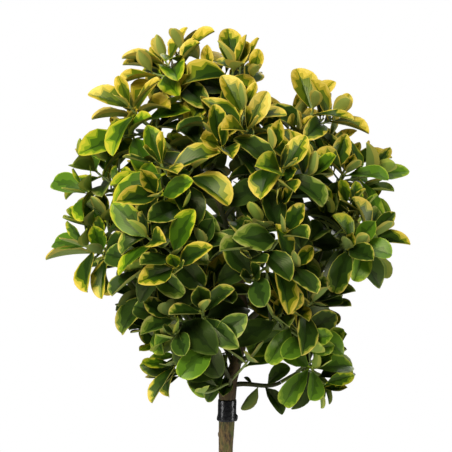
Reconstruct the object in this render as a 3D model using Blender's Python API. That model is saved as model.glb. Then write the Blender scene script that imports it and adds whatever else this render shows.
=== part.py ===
"""A gold-edged evergreen spindle grown as a small grafted standard.

One clear stem stands in level ground and carries a rounded head. Boughs taper from
their fork to a mass of foliage, and each mass is a stem that branches into shoots
with leaves in opposite pairs, every pair turned a quarter round from the last.
Metres, +Z up. The origin is the middle of the flat cut at ground level, +X is the
right of the head and -Y its front.
"""

import math
import random
from collections import namedtuple

import bpy
from mathutils import Vector
from mathutils.bvhtree import BVHTree

UP = Vector((0.0, 0.0, 1.0))
SEAT_GAP = 0.0003
CROWN_AXIS_X = 0.003

# The trunk: height, sideways lean along X and Y, and radius.
TRUNK = (
    (0.000, 0.0000, 0.0000, 0.0172),
    (0.010, 0.0001, 0.0000, 0.0138),
    (0.030, 0.0002, 0.0001, 0.0106),
    (0.080, 0.0004, 0.0005, 0.0092),
    (0.220, 0.0010, 0.0020, 0.0083),
    (0.424, 0.0008, 0.0015, 0.0080),
    (0.450, 0.0018, 0.0008, 0.0087),
    (0.470, 0.0023, 0.0002, 0.0090),
    (0.490, 0.0027, 0.0000, 0.0104),
    (0.503, 0.0052, 0.0000, 0.0086),
    (0.520, 0.0112, 0.0010, 0.0068),
    (0.545, 0.0188, 0.0030, 0.0060),
    (0.585, 0.0215, 0.0060, 0.0052),
    (0.630, 0.0150, 0.0070, 0.0043),
    (0.665, 0.0085, 0.0050, 0.0034),
)
TRUNK_SIDES = 14
FLARE_LOBES = 5
FLARE_TURN = 0.6
FLARE_DEPTH = 0.13
FLARE_HEIGHT = 0.022
FIRST_FORK_HEIGHT = 0.492
# Leaves are kept clear of the trunk above this height, in a tube of this many sides.
LEAFY_FROM, GUARD_SIDES = 0.4, 8

# The black tape round the graft.
TAPE_BOTTOM = 0.4575
TAPE_TOP = 0.4830
TAPE_RADIUS = 0.0106
TAPE_TURNS = 3
TAPE_TURN_STEP = 0.0004
# The knot in its end: depth, width and height, then its rings' places up it and sizes.
TAPE_KNOT = (0.0026, 0.0050, 0.0085)
KNOT_RINGS = ((-0.98, 0.62), (-0.6, 1.0), (0.6, 1.0), (0.98, 0.62))
KNOT_SIDES = 8
TAPE_KNOT_OUT = 0.0004
TAPE_KNOT_SIDE = math.radians(-18)

# The head's tiers, from the skirt up: height of the masses' middles, how far that falls
# for each metre to the right, reach from the head's axis to the right, back, left and
# front, number of masses, and first azimuth.
Tier = namedtuple("Tier", "name height fall reaches count first")
TIERS = (
    Tier("skirt", 0.520, 0.10, (0.166, 0.120, 0.112, 0.120), 4, 5),
    Tier("low", 0.586, 0.10, (0.158, 0.166, 0.136, 0.166), 5, 180),
    Tier("middle", 0.655, -0.05, (0.212, 0.186, 0.206, 0.190), 7, 188),
    Tier("high", 0.724, -0.02, (0.198, 0.172, 0.204, 0.178), 6, 180),
    Tier("shoulder", 0.782, 0.22, (0.136, 0.124, 0.166, 0.132), 4, 190),
)
# The shoots that stand above the tiers: name, and the middle of each.
TUFTS = (
    ("left", (-0.054, 0.010, 0.850)),
    ("top", (0.006, -0.012, 0.838)),
    ("right", (0.096, 0.000, 0.790)),
)
# A tuft is narrower than other masses.
TUFT_SHARE = 0.78
MASS_RADIUS = 0.073
MIDDLE_HEIGHT_PLAY = 0.009
STEM_LENGTH = 0.036
STEM_BEND_AT, STEM_TOP = 0.55, 0.003
STEM_CLIMB = 0.020
# A mass this near the trunk has its stem on the trunk itself, with no bough.
STEM_ON_TRUNK_WITHIN = 0.062

# The boughs, and where they fork.
BOUGH_TIP_RADIUS = 0.0022
BOUGH_TIP_SHARE = 0.8
BOUGH_THICKENING = 0.014
BOUGH_MOST_SHARE = 0.80
BOUGH_PULL = 0.36
LEAST_BOUGH_RADIUS = 0.0019
BOUGH_STEPS = 6
BOUGH_SIDES = 5
# How far a five-sided limb's corners move out so that its sides move out by a seat's gap.
BEARER_GROWTH = 1 / math.cos(math.pi / BOUGH_SIDES)
# A bough may fork from another between these shares of its length.
FORK_FIRST, FORK_LAST = 0.15, 0.80
FORK_GAP = 0.009
FORK_APART = 0.7
FORK_INSIDE = 0.001
FORK_STATION = 0.004
FORK_FOLLOWS = 0.55
FORK_LEAST_COSINE = 0.05
FORK_CLEAR = 0.016
SECOND_FORK_COST = 0.010
LEAST_BOUGH = 0.012
TIP_RISE = 0.30
# A bough climbs at least this much for each metre outwards, or costs more.
STEEPNESS, CLIMB_WEIGHT, DROP_WEIGHT = 0.85, 0.8, 3.0
LIMB_CLEAR = 0.002

# Shoots, and the leaves on them by rank back from the tip.
SHOOTS = 5
SHOOT_REACH = 0.037
SHOOT_SPREAD = math.radians(104)
LEAN_PLAY, TURN_PLAY, REACH_PLAY = (0.88, 1.08), 0.2, (0.88, 1.14)
LOW_AIM_HEIGHT, LOW_AIM_RISE = 0.510, -0.40
HIGH_AIM_HEIGHT, HIGH_AIM_RISE = 0.680, 0.45
OUTWARD_RISE = 0.03
# A shoot leaves the stem this far along it, and lower down where it leans out further.
SHOOT_FROM, SHOOT_FROM_FALL = 0.95, 0.5
SHOOT_FOLLOWS = 0.7
SHOOT_TIP_RISE = 0.35
SHOOT_PULLS = (0.35, 0.3)
SHOOT_RADIUS = 0.0021
SHOOT_TAPER = 0.3
SHOOT_SIDES = 3
SHOOT_STEPS = 2
STEM_RADII = (SHOOT_RADIUS * 1.12, SHOOT_RADIUS * 1.06, SHOOT_RADIUS)
GOLDEN_TURN = math.radians(137.508)
# Degrees that one shoot's first pair of leaves is turned from the last shoot's.
SHOOT_TURN = 47
LEAF_TURN_PLAY, SPLAY_PLAY, LENGTH_PLAY = 11, 8, (0.88, 1.1)
LEAF_LIFT = 0.13
# How much a blade faces along its shoot, outward from the head, and up.
FACES_ALONG, FACES_OUT, FACES_UP = 0.75, 0.35, 0.35
LEAF_LENGTH = 0.053
LEAF_WIDTH_SHARE = 0.61
LEAF_THICK = 0.0012
LEAF_ROOT_SUNK = 0.0006
KEEL_AT = 0.18
WIDEST_AT = 0.60
BLUNT_AT = 0.95
BLUNT_SHARE = 0.46
NODE_BACK = (0.0050, 0.0160, 0.0290)
NODE_SPLAY = (34, 60, 78)
NODE_LENGTH = (0.92, 1.06, 1.08)
# Other ways to hold a leaf that would touch something: turn, splay and length.
HOLDS = ((0, 0, 1.0), (16, 6, 1.0), (-16, 6, 1.0), (0, -14, 0.95), (28, 12, 0.9), (-28, 12, 0.9), (0, 20, 0.84))
MOST_LEAVES = 530
SPILL = 1.13
# Leaves keep above this height beside the stem, and may hang lower away from it.
LOWEST_BY_STEM, LOWEST_BESIDE = 0.504, 0.462
STEM_CLEAR, STEM_CLEAR_FADE = 0.020, 0.036
CELL = 0.06
FAT = 0.0007

# The faces of a leaf, each corner by name and each face outward.
LEAF_TOP = ("root left right", "right left tip_left tip_right")
LEAF_UNDERSIDE = (
    "root keel left",
    "root right keel",
    "keel tip_left left",
    "keel tip_right tip_left",
    "keel right tip_right",
)
FAT_LEAF_TOP = (
    "root crest right",
    "root left crest",
    "crest tip_right right",
    "crest tip_left tip_right",
    "crest left tip_left",
)

Mass = namedtuple("Mass", "name tier centre root on_trunk")
Limb = namedtuple("Limb", "name points radii")
Shoot = namedtuple("Shoot", "mass number points radii outward")
Leaf = namedtuple("Leaf", "origin along normal length")


def clear_scene():
    for obj in list(bpy.data.objects):
        bpy.data.objects.remove(obj, do_unlink=True)


def material(name, colour, roughness):
    made = bpy.data.materials.new(name)
    made.use_nodes = True
    shader = made.node_tree.nodes["Principled BSDF"]
    shader.inputs["Base Color"].default_value = (*colour, 1.0)
    shader.inputs["Roughness"].default_value = roughness
    return made


def solid(name, shape, surface):
    """An object in the scene, from a shape's points and faces."""
    points, faces = shape
    mesh = bpy.data.meshes.new(name)
    mesh.from_pydata([tuple(p) for p in points], [], faces)
    mesh.materials.append(surface)
    obj = bpy.data.objects.new(name, mesh)
    bpy.context.scene.collection.objects.link(obj)
    return obj


def shade_round(obj, angle=math.radians(40)):
    obj.data.shade_smooth()
    obj.data.set_sharp_from_angle(angle=angle)


def join_with(obj, others, operation, solver="EXACT"):
    """Applies one Boolean on a collection of shapes, and removes them."""
    cutters = bpy.data.collections.new(obj.name + "_shapes")
    bpy.context.scene.collection.children.link(cutters)
    for number, shape in enumerate(others):
        cutter = solid(f"{obj.name}_shape_{number}", shape, obj.data.materials[0])
        bpy.context.scene.collection.objects.unlink(cutter)
        cutters.objects.link(cutter)
    boolean = obj.modifiers.new("join", "BOOLEAN")
    boolean.operation = operation
    boolean.solver = solver
    boolean.operand_type = "COLLECTION"
    boolean.collection = cutters
    graph = bpy.context.evaluated_depsgraph_get()
    made = bpy.data.meshes.new_from_object(obj.evaluated_get(graph))
    obj.modifiers.remove(boolean)
    obj.data = made
    for cutter in list(cutters.objects):
        bpy.data.objects.remove(cutter, do_unlink=True)
    bpy.data.collections.remove(cutters)


def directions(points):
    """The way a line runs at each of its points."""
    last = len(points) - 1
    return [(points[min(i + 1, last)] - points[max(i - 1, 0)]).normalized() for i in range(last + 1)]


def across(way):
    """A fixed way square to a line, so that a shape and its larger copy stay in step."""
    helper = UP if abs(way.z) < 0.8 else Vector((1.0, 0.0, 0.0))
    return helper.cross(way).normalized()


def tube(points, radii, sides, end_way=None):
    """A closed tube along a line, with flat ends, the last of them square to end_way."""
    rings = []
    ways = directions(points)
    ways[-1] = end_way or ways[-1]
    side = across(ways[0])
    for point, way, radius in zip(points, ways, radii):
        side = (side - way * side.dot(way)).normalized()
        other = way.cross(side)
        for k in range(sides):
            turn = 2 * math.pi * k / sides
            rings.append(point + (side * math.cos(turn) + other * math.sin(turn)) * radius)
    return rings, ring_faces(len(points), sides)


def ring_faces(count, sides):
    faces = [tuple(reversed(range(sides)))]
    for ring in range(count - 1):
        low = ring * sides
        for k in range(sides):
            after = (k + 1) % sides
            faces.append((low + k, low + after, low + sides + after, low + sides + k))
    faces.append(tuple(range((count - 1) * sides, count * sides)))
    return faces


def bezier(start, first, second, end, steps):
    line = []
    for i in range(steps + 1):
        t = i / steps
        s = 1 - t
        line.append(start * s**3 + first * 3 * s * s * t + second * 3 * s * t * t + end * t**3)
    return line


def trunk_shape(extra=0.0):
    """Level rings up the leaning trunk, lobed at the foot where the roots flare."""
    rings = []
    for height, lean_x, lean_y, radius in TRUNK:
        lobing = FLARE_DEPTH * math.exp(-height / FLARE_HEIGHT)
        for k in range(TRUNK_SIDES):
            turn = 2 * math.pi * k / TRUNK_SIDES
            here = radius * (1 + lobing * math.cos(FLARE_LOBES * turn + FLARE_TURN)) + extra
            rings.append(Vector((lean_x + here * math.cos(turn), lean_y + here * math.sin(turn), height)))
    return rings, ring_faces(len(TRUNK), TRUNK_SIDES)


def trunk_at(height):
    """Centre and radius of the trunk at a height."""
    for low, high in zip(TRUNK, TRUNK[1:]):
        if height <= high[0]:
            share = (height - low[0]) / (high[0] - low[0])
            x, y, radius = (low[i] + (high[i] - low[i]) * share for i in (1, 2, 3))
            return Vector((x, y, height)), radius
    return Vector((TRUNK[-1][1], TRUNK[-1][2], height)), TRUNK[-1][3]


def tape_shape():
    """A sleeve that follows the trunk inside and steps outwards at each turn of tape outside."""
    heights = [TAPE_BOTTOM + (TAPE_TOP - TAPE_BOTTOM) * i / TAPE_TURNS for i in range(TAPE_TURNS + 1)]
    heights += [h for h, *_ in TRUNK if TAPE_BOTTOM < h < TAPE_TOP]
    inner = [(h, trunk_at(h)[1] + SEAT_GAP) for h in sorted(heights)]
    outer = []
    for turn in range(TAPE_TURNS):
        low = TAPE_BOTTOM + (TAPE_TOP - TAPE_BOTTOM) * turn / TAPE_TURNS
        high = TAPE_BOTTOM + (TAPE_TOP - TAPE_BOTTOM) * (turn + 1) / TAPE_TURNS
        outer += [(low, TAPE_RADIUS), (high, TAPE_RADIUS - TAPE_TURN_STEP)]
    profile = outer + inner[::-1]
    points = []
    for height, radius in profile:
        centre = trunk_at(height)[0]
        for k in range(TRUNK_SIDES):
            turn = 2 * math.pi * k / TRUNK_SIDES
            points.append(centre + Vector((math.cos(turn), math.sin(turn), 0)) * radius)
    faces = ring_faces(len(profile) + 1, TRUNK_SIDES)[1:-1]
    return points, [tuple(i % len(points) for i in face) for face in faces]


def knot_shape():
    """The lump where the tape's end is tucked in."""
    centre, _ = trunk_at(TAPE_BOTTOM + TAPE_KNOT[2] / 2)
    out = Vector((math.cos(TAPE_KNOT_SIDE), math.sin(TAPE_KNOT_SIDE), 0))
    side = UP.cross(out)
    middle = centre + out * (TAPE_RADIUS + TAPE_KNOT_OUT)
    points = []
    for share, size in KNOT_RINGS:
        point = middle + UP * (TAPE_KNOT[2] / 2) * share
        for k in range(KNOT_SIDES):
            turn = 2 * math.pi * k / KNOT_SIDES
            step = out * TAPE_KNOT[0] / 2 * math.cos(turn) + side * TAPE_KNOT[1] / 2 * math.sin(turn)
            points.append(point + step * size)
    return points, ring_faces(len(KNOT_RINGS), KNOT_SIDES)


def reach_at(reaches, azimuth):
    """A tier's reach on a quarter ellipse between the two sides next to this azimuth."""
    quarter = int(azimuth % 360 // 90)
    turn = math.radians(azimuth % 90)
    near, far = reaches[quarter], reaches[(quarter + 1) % 4]
    return near * far / math.hypot(far * math.cos(turn), near * math.sin(turn))


def all_masses():
    """Every mass of foliage, with the place where its stem meets its bough."""
    centres = []
    for name, centre in TUFTS:
        centres.append((f"tuft_{name}", "tuft", Vector(centre)))
    for tier in TIERS:
        chance = random.Random(tier.name)
        for number in range(tier.count):
            azimuth = tier.first + 360 * number / tier.count
            out = reach_at(tier.reaches, azimuth) - MASS_RADIUS
            turn = math.radians(azimuth)
            x, y = out * math.cos(turn), out * math.sin(turn)
            height = tier.height - tier.fall * x + chance.uniform(-1, 1) * MIDDLE_HEIGHT_PLAY
            centre = Vector((CROWN_AXIS_X + x, y, height))
            centres.append((f"{tier.name}_{number + 1}", tier.name, centre))
    return [Mass(name, tier, centre, *stem_on_trunk(centre, tier)) for name, tier, centre in centres]


def stem_on_trunk(centre, tier):
    """For a skirt mass close to the trunk, the place where its stem leaves the trunk's middle."""
    place, _ = trunk_at(centre.z - STEM_CLIMB)
    near = Vector((centre.x - place.x, centre.y - place.y)).length < STEM_ON_TRUNK_WITHIN
    return (place, True) if tier == "skirt" and near else (None, False)


def line_length(points):
    return sum((b - a).length for a, b in zip(points, points[1:]))


def bough_from(limb, index, mass):
    """The line of a bough that leaves a limb at one of its points and rises towards a mass."""
    start = limb.points[index]
    way = directions(limb.points)[index]
    entering = ((mass.centre - start).normalized() + UP * TIP_RISE).normalized()
    root = mass.centre - entering * STEM_LENGTH
    aim = root - start
    leaving = (aim.normalized() + way * FORK_FOLLOWS).normalized()
    pull = aim.length * BOUGH_PULL
    return bezier(start, start + leaving * pull, root - entering * pull, root, BOUGH_STEPS)


def bough_cost(limb, index, mass, length):
    """Short boughs are best, as are those that climb, from a limb's middle."""
    start = limb.points[index]
    aim = mass.centre - start
    flat = math.hypot(aim.x, aim.y)
    cost = length + CLIMB_WEIGHT * max(0.0, STEEPNESS * flat - aim.z) + DROP_WEIGHT * max(0.0, -aim.z)
    if limb.name != "trunk":
        cost += SECOND_FORK_COST
    way = directions(limb.points)[index]
    return cost if aim.normalized().dot(way) > FORK_LEAST_COSINE else None


def bough_radii(limb, index, length):
    base = min(BOUGH_TIP_RADIUS + BOUGH_THICKENING * length, limb.radii[index] * BOUGH_MOST_SHARE)
    tip = min(BOUGH_TIP_RADIUS, base * BOUGH_TIP_SHARE)
    return [base + (tip - base) * i / BOUGH_STEPS for i in range(BOUGH_STEPS + 1)]


def too_near(points, radii, limbs, parent):
    """True if a bough would run into a limb past its own fork."""
    start = points[0]
    nearest = min(range(len(parent.points)), key=lambda i: (parent.points[i] - start).length)
    inside = FORK_INSIDE + parent.radii[nearest]
    for point, radius in zip(points, radii):
        away = (point - start).length
        if away < inside:
            continue
        for limb in limbs:
            if limb is parent and away < FORK_CLEAR:
                continue
            if any((point - p).length < radius + r + LIMB_CLEAR for p, r in zip(limb.points, limb.radii)):
                return True
    return False


def fine_line(points, radii, steps=4):
    """More points along a line, for measuring how near two limbs run."""
    fine, thick = [], []
    for (a, b), (r, s) in zip(zip(points, points[1:]), zip(radii, radii[1:])):
        for i in range(steps):
            fine.append(a.lerp(b, i / steps))
            thick.append(r + (s - r) * i / steps)
    return fine + [points[-1]], thick + [radii[-1]]


def forks_meet(points, other):
    """True if two boughs would leave a limb too near each other, unless on opposite sides of it."""
    (start, after), (other_start, other_after) = points[:2], other[:2]
    apart = 1 - (after - start).normalized().dot((other_after - other_start).normalized())
    return (start - other_start).length + apart * FORK_GAP * FORK_APART < FORK_GAP


def best_bough(mass, limbs, obstacles, forks):
    """The cheapest clear bough to a mass: its cost, bearer, points and radii."""
    best = None
    for limb in limbs:
        for index in range(1, len(limb.points) - 1):
            start = limb.points[index]
            along = index / len(limb.points)
            if limb.name != "trunk" and not FORK_FIRST < along < FORK_LAST:
                continue
            points = bough_from(limb, index, mass)
            if any(forks_meet(points, other) for other in forks):
                continue
            length = line_length(points)
            cost = bough_cost(limb, index, mass, length)
            radii = bough_radii(limb, index, length)
            too_small = length < LEAST_BOUGH or radii[0] < LEAST_BOUGH_RADIUS
            if cost is None or too_small or (best and cost >= best[0]):
                continue
            if not too_near(*fine_line(points, radii), obstacles, limb):
                best = (cost, limb, points, radii)
    return best


def grow_boughs(masses):
    """Reaches each mass from the limbs made so far. Returns the masses with their roots, and the boughs."""
    trunk_top = TRUNK[-1][0] - FORK_GAP / 2
    count = int((trunk_top - FIRST_FORK_HEIGHT) / FORK_STATION)
    stations = [trunk_at(FIRST_FORK_HEIGHT + FORK_STATION * i) for i in range(count)]
    limbs = [Limb("trunk", [p for p, _ in stations], [r for _, r in stations])]
    stems = [Limb(m.name, *fine_line(stem_of(m)[:2], STEM_RADII[:2], 8)) for m in masses if m.on_trunk]
    forks = [stem.points for stem in stems]
    rooted = {m.name: m for m in masses if m.on_trunk}
    parents = {}
    for mass in sorted((m for m in masses if not m.on_trunk), key=bough_order):
        best = best_bough(mass, limbs, limbs + stems, forks)
        if best is None:
            raise ValueError(f"no clear way to {mass.name}")
        _, limb, points, radii = best
        forks.append(points)
        name = f"bough_{mass.name}"
        limbs.append(Limb(name, *fine_line(points, radii)))
        parents[name] = (limb.name, points, radii, (mass.centre - points[-1]).normalized())
        rooted[mass.name] = mass._replace(root=points[-1])
    return [rooted[mass.name] for mass in masses], parents


def bough_order(mass):
    """The leading boughs come first: the tufts, then the widest tiers, then the rest."""
    return ("tuft", "skirt", "low", "middle", "high", "shoulder").index(mass.tier), mass.name


def bough_solid(name, parents, surface):
    """One tapering limb, cut to sit a hair clear of the limb that bears it."""
    parent, points, radii, end_way = parents[name]
    obj = solid(name, tube(points, radii, BOUGH_SIDES, end_way), surface)
    if parent == "trunk":
        bearer = trunk_shape(SEAT_GAP)
    else:
        _, line, thick, line_end = parents[parent]
        bearer = tube(line, [r + SEAT_GAP * BEARER_GROWTH for r in thick], BOUGH_SIDES, line_end)
    join_with(obj, [bearer], "DIFFERENCE")
    shade_round(obj)
    return obj


def stem_of(mass):
    """The line of a mass's own stem, from just past its bough's tip to its middle."""
    way = (mass.centre - mass.root).normalized()
    start = mass.root + way * (0 if mass.on_trunk else SEAT_GAP)
    return [start, start.lerp(mass.centre, STEM_BEND_AT), mass.centre + UP * STEM_TOP]


def aim_rise(height):
    """Shoots aim up in the upper head and hang a little at the skirt."""
    share = (height - LOW_AIM_HEIGHT) / (HIGH_AIM_HEIGHT - LOW_AIM_HEIGHT)
    return LOW_AIM_RISE + (HIGH_AIM_RISE - LOW_AIM_RISE) * min(max(share, 0.0), 1.0)


def shoots_of(mass):
    """Shoots that leave the stem in a golden-angle spiral about the way out and up."""
    chance = random.Random(mass.name)
    stem = stem_of(mass)
    outward = (mass.centre - Vector((CROWN_AXIS_X, 0.0, mass.centre.z - OUTWARD_RISE))).normalized()
    aim = (outward + UP * aim_rise(mass.centre.z)).normalized()
    side = across(aim)
    other = aim.cross(side)
    phase = chance.uniform(0, 2 * math.pi)
    share = TUFT_SHARE if mass.tier == "tuft" else 1.0
    shoots = []
    for number in range(SHOOTS):
        lean = SHOOT_SPREAD * math.sqrt((number + 0.25) / SHOOTS) * chance.uniform(*LEAN_PLAY) * share
        turn = phase + number * GOLDEN_TURN + chance.uniform(-TURN_PLAY, TURN_PLAY)
        way = aim * math.cos(lean) + (side * math.cos(turn) + other * math.sin(turn)) * math.sin(lean)
        reach = SHOOT_REACH * chance.uniform(*REACH_PLAY) * share
        start = stem[0].lerp(stem[-1], SHOOT_FROM - SHOOT_FROM_FALL * lean / SHOOT_SPREAD)
        tip = mass.centre + way * reach
        rise = (way + UP * SHOOT_TIP_RISE).normalized()
        leaving = (way + (stem[-1] - stem[0]).normalized() * SHOOT_FOLLOWS).normalized()
        first, second = (pull * (tip - start).length for pull in SHOOT_PULLS)
        line = bezier(start, start + leaving * first, tip - rise * second, tip, SHOOT_STEPS)
        radii = [SHOOT_RADIUS * (1 - SHOOT_TAPER * i / SHOOT_STEPS) for i in range(SHOOT_STEPS + 1)]
        shoots.append(Shoot(mass, number, line, radii, outward))
    return shoots


def point_back(points, distance):
    """The point this far back from a line's tip, and the way the line runs there."""
    for a, b in zip(points[::-1], points[-2::-1]):
        step = (b - a).length
        if distance <= step:
            return a.lerp(b, distance / step), (a - b).normalized()
        distance -= step
    return None


def leaf_held(shoot, rank, half, hold):
    """One leaf of a pair, held at this rank of a shoot in one of the ways of HOLDS."""
    found = point_back(shoot.points, NODE_BACK[rank])
    if found is None:
        return None
    place, way = found
    chance = random.Random(f"{shoot.mass.name}-{shoot.number}-{rank}-{half}")
    turned, splayed, shortened = hold
    side = across(way)
    other = way.cross(side)
    turned += chance.uniform(-LEAF_TURN_PLAY, LEAF_TURN_PLAY)
    turn = math.radians(shoot.number * SHOOT_TURN + rank * 90 + half * 180 + turned)
    splay = math.radians(NODE_SPLAY[rank] + chance.uniform(-SPLAY_PLAY, SPLAY_PLAY) + splayed)
    out = side * math.cos(turn) + other * math.sin(turn)
    along = (way * math.cos(splay) + out * math.sin(splay) + UP * LEAF_LIFT).normalized()
    facing = way * FACES_ALONG + shoot.outward * FACES_OUT + UP * FACES_UP
    normal = (facing - along * facing.dot(along)).normalized()
    length = LEAF_LENGTH * NODE_LENGTH[rank] * chance.uniform(*LENGTH_PLAY) * shortened
    return Leaf(place - out * LEAF_ROOT_SUNK, along, normal, length)


def leaf_points(leaf, extra):
    """The corners of a blade, by name: widest past its middle, blunt, and keeled below."""
    side = leaf.normal.cross(leaf.along)
    half_wide = leaf.length * LEAF_WIDTH_SHARE / 2 + extra
    blunt = BLUNT_AT + extra / leaf.length

    def at(share, out, lift):
        return leaf.origin + leaf.along * leaf.length * share + side * half_wide * out + leaf.normal * lift

    return {
        "root": at(0, 0, 0),
        "left": at(WIDEST_AT, -1, 0),
        "right": at(WIDEST_AT, 1, 0),
        "tip_left": at(blunt, -BLUNT_SHARE, 0),
        "tip_right": at(blunt, BLUNT_SHARE, 0),
        "keel": at(KEEL_AT, 0, -LEAF_THICK - extra),
        "crest": at(WIDEST_AT, 0, extra * 2),
    }


def shape_from(corners, faces):
    """A shape from named corners, with the faces given as words."""
    names = sorted({name for face in faces for name in face.split()})
    return [corners[name] for name in names], [tuple(map(names.index, face.split())) for face in faces]


def leaf_shape(leaf):
    return shape_from(leaf_points(leaf, 0.0), LEAF_TOP + LEAF_UNDERSIDE)


def fat_leaf(leaf):
    """A blade grown thicker all round, for finding what it would come too near."""
    return shape_from(leaf_points(leaf, FAT), FAT_LEAF_TOP + LEAF_UNDERSIDE)


class Room:
    """What has been grown so far, and whether a new shape is clear of it."""

    def __init__(self):
        self.cells = {}
        self.shapes = []

    def cells_of(self, points):
        low = [math.floor(min(p[i] for p in points) / CELL) for i in range(3)]
        high = [math.floor(max(p[i] for p in points) / CELL) for i in range(3)]
        for x in range(low[0], high[0] + 1):
            for y in range(low[1], high[1] + 1):
                for z in range(low[2], high[2] + 1):
                    yield x, y, z

    def is_clear(self, shape, apart_from=()):
        tree = BVHTree.FromPolygons(*shape)
        near = {n for cell in self.cells_of(shape[0]) for n in self.cells.get(cell, ())}
        for number in near:
            owner, other = self.shapes[number]
            if owner not in apart_from and tree.overlap(other):
                return False
        return True

    def take(self, shape, owner):
        number = len(self.shapes)
        self.shapes.append((owner, BVHTree.FromPolygons(*shape)))
        for cell in self.cells_of(shape[0]):
            self.cells.setdefault(cell, []).append(number)


def lowest_at(x):
    """How low leaves may hang, by their distance to the left or right of the stem."""
    share = min(max((abs(x) - STEM_CLEAR) / STEM_CLEAR_FADE, 0.0), 1.0)
    return LOWEST_BY_STEM + (LOWEST_BESIDE - LOWEST_BY_STEM) * share


def keeps_to(mass, shape):
    """True if a shape stays in its mass's own space and clear of the bare stem."""
    limit = MASS_RADIUS * SPILL
    return all((p - mass.centre).length < limit and p.z > lowest_at(p.x) for p in shape[0])


def fat_tube(points, radii, sides):
    return tube(points, [r + FAT for r in radii], sides)


def grow_foliage(masses, parents):
    """The shapes of each mass: its stem first, then shoots and leaves dealt out in turn."""
    room = Room()
    trunk_line = [trunk_at(h) for h, *_ in TRUNK if h > LEAFY_FROM]
    room.take(fat_tube([p for p, _ in trunk_line], [r for _, r in trunk_line], GUARD_SIDES), "limb")
    for _, points, radii, _ in parents.values():
        room.take(fat_tube(points, radii, BOUGH_SIDES), "limb")
    shapes = {}
    for mass in masses:
        stem = stem_of(mass)
        shapes[mass.name] = [tube(stem, STEM_RADII, SHOOT_SIDES)]
        room.take(fat_tube(stem, STEM_RADII, SHOOT_SIDES), mass.name)
    grown = []
    for number in range(SHOOTS):
        for mass in masses:
            shoot = shoots_of(mass)[number]
            family = [mass.name] + [f"{mass.name}-{n}" for n in range(SHOOTS)]
            fat = fat_tube(shoot.points, shoot.radii, SHOOT_SIDES)
            outer = fat_tube(shoot.points[1:], shoot.radii[1:], SHOOT_SIDES)
            kept = keeps_to(mass, (outer[0][SHOOT_SIDES:], ()))
            if kept and room.is_clear(fat, family) and room.is_clear(outer, family[:1]):
                room.take(fat, f"{mass.name}-{number}")
                shapes[mass.name].append(tube(shoot.points, shoot.radii, SHOOT_SIDES))
                grown.append(shoot)
    leaves = 0
    for rank in range(len(NODE_BACK)):
        for shoot in grown:
            for half in (0, 1):
                if leaves < MOST_LEAVES:
                    leaves += grow_leaf(shoot, rank, half, room, shapes)
    return shapes


def grow_leaf(shoot, rank, half, room, shapes):
    """Adds one leaf where one of its holds is clear, and says whether it did."""
    own = f"{shoot.mass.name}-{shoot.number}"
    mate = f"{own}-{rank}-{1 - half}"
    for hold in HOLDS:
        leaf = leaf_held(shoot, rank, half, hold)
        if leaf is None:
            return False
        fat = fat_leaf(leaf)
        if keeps_to(shoot.mass, fat) and room.is_clear(fat, (own, mate)):
            room.take(fat, f"{own}-{rank}-{half}")
            shapes[shoot.mass.name].append(leaf_shape(leaf))
            return True
    return False


def main():
    clear_scene()
    bark = material("bark", (0.118, 0.078, 0.042), 0.8)
    young_bark = material("young_bark", (0.075, 0.088, 0.03), 0.65)
    tape = material("graft_tape", (0.012, 0.014, 0.018), 0.28)
    green = material("foliage_green", (0.038, 0.115, 0.016), 0.4)
    lime = material("foliage_lime", (0.135, 0.235, 0.022), 0.4)
    gold = material("foliage_gold", (0.36, 0.37, 0.035), 0.4)
    foliage = {"skirt": green, "low": green, "middle": lime, "high": gold, "shoulder": gold, "tuft": gold}
    shade_round(solid("trunk", trunk_shape(), bark))
    sleeve = solid("graft_tape", tape_shape(), tape)
    join_with(sleeve, [knot_shape()], "UNION")
    masses = all_masses()
    masses, parents = grow_boughs(masses)
    for name in parents:
        bough_solid(name, parents, young_bark)
    shapes = grow_foliage(masses, parents)
    for mass in masses:
        stem, *others = shapes[mass.name]
        obj = solid(f"foliage_{mass.name}", stem, foliage[mass.tier])
        join_with(obj, others, "UNION", "MANIFOLD")
        if mass.on_trunk:
            join_with(obj, [trunk_shape(SEAT_GAP)], "DIFFERENCE", "MANIFOLD")


main()
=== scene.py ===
"""The looks of a gold-edged evergreen spindle, grown as a small grafted standard.

The plant grows here by the same rule as its solids, from the same seeds: masses in
tiers, a bough to each, a stem and shoots inside each mass. Here the rule goes on to
side twigs and to blades with a dark heart inside a gold or lime margin.
Metres, +Z up, -Y to the front.
"""

import math
import random
from collections import namedtuple

import bpy
from mathutils import Matrix, Vector, noise
from mathutils.bvhtree import BVHTree

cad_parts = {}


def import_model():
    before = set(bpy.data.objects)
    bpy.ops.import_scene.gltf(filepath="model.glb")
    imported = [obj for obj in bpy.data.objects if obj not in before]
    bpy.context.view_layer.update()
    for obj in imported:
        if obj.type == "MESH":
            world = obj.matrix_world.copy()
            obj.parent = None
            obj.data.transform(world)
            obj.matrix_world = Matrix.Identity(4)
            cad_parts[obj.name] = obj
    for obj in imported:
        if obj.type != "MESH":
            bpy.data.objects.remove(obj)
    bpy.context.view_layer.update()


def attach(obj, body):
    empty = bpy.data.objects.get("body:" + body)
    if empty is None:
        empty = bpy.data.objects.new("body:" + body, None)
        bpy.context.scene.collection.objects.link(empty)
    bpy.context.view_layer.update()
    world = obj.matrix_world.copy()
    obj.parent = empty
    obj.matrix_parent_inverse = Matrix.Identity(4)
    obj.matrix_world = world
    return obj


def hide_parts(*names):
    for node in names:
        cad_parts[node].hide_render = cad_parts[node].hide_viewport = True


UP = Vector((0.0, 0.0, 1.0))
FULL_TURN = 2 * math.pi
GOLDEN_TURN = math.radians(137.508)
# The head stands a little to the right of the foot. A stem starts this far from its bough's tip.
CROWN_AXIS_X = 0.003
SEAT_GAP = 0.0003

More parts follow.
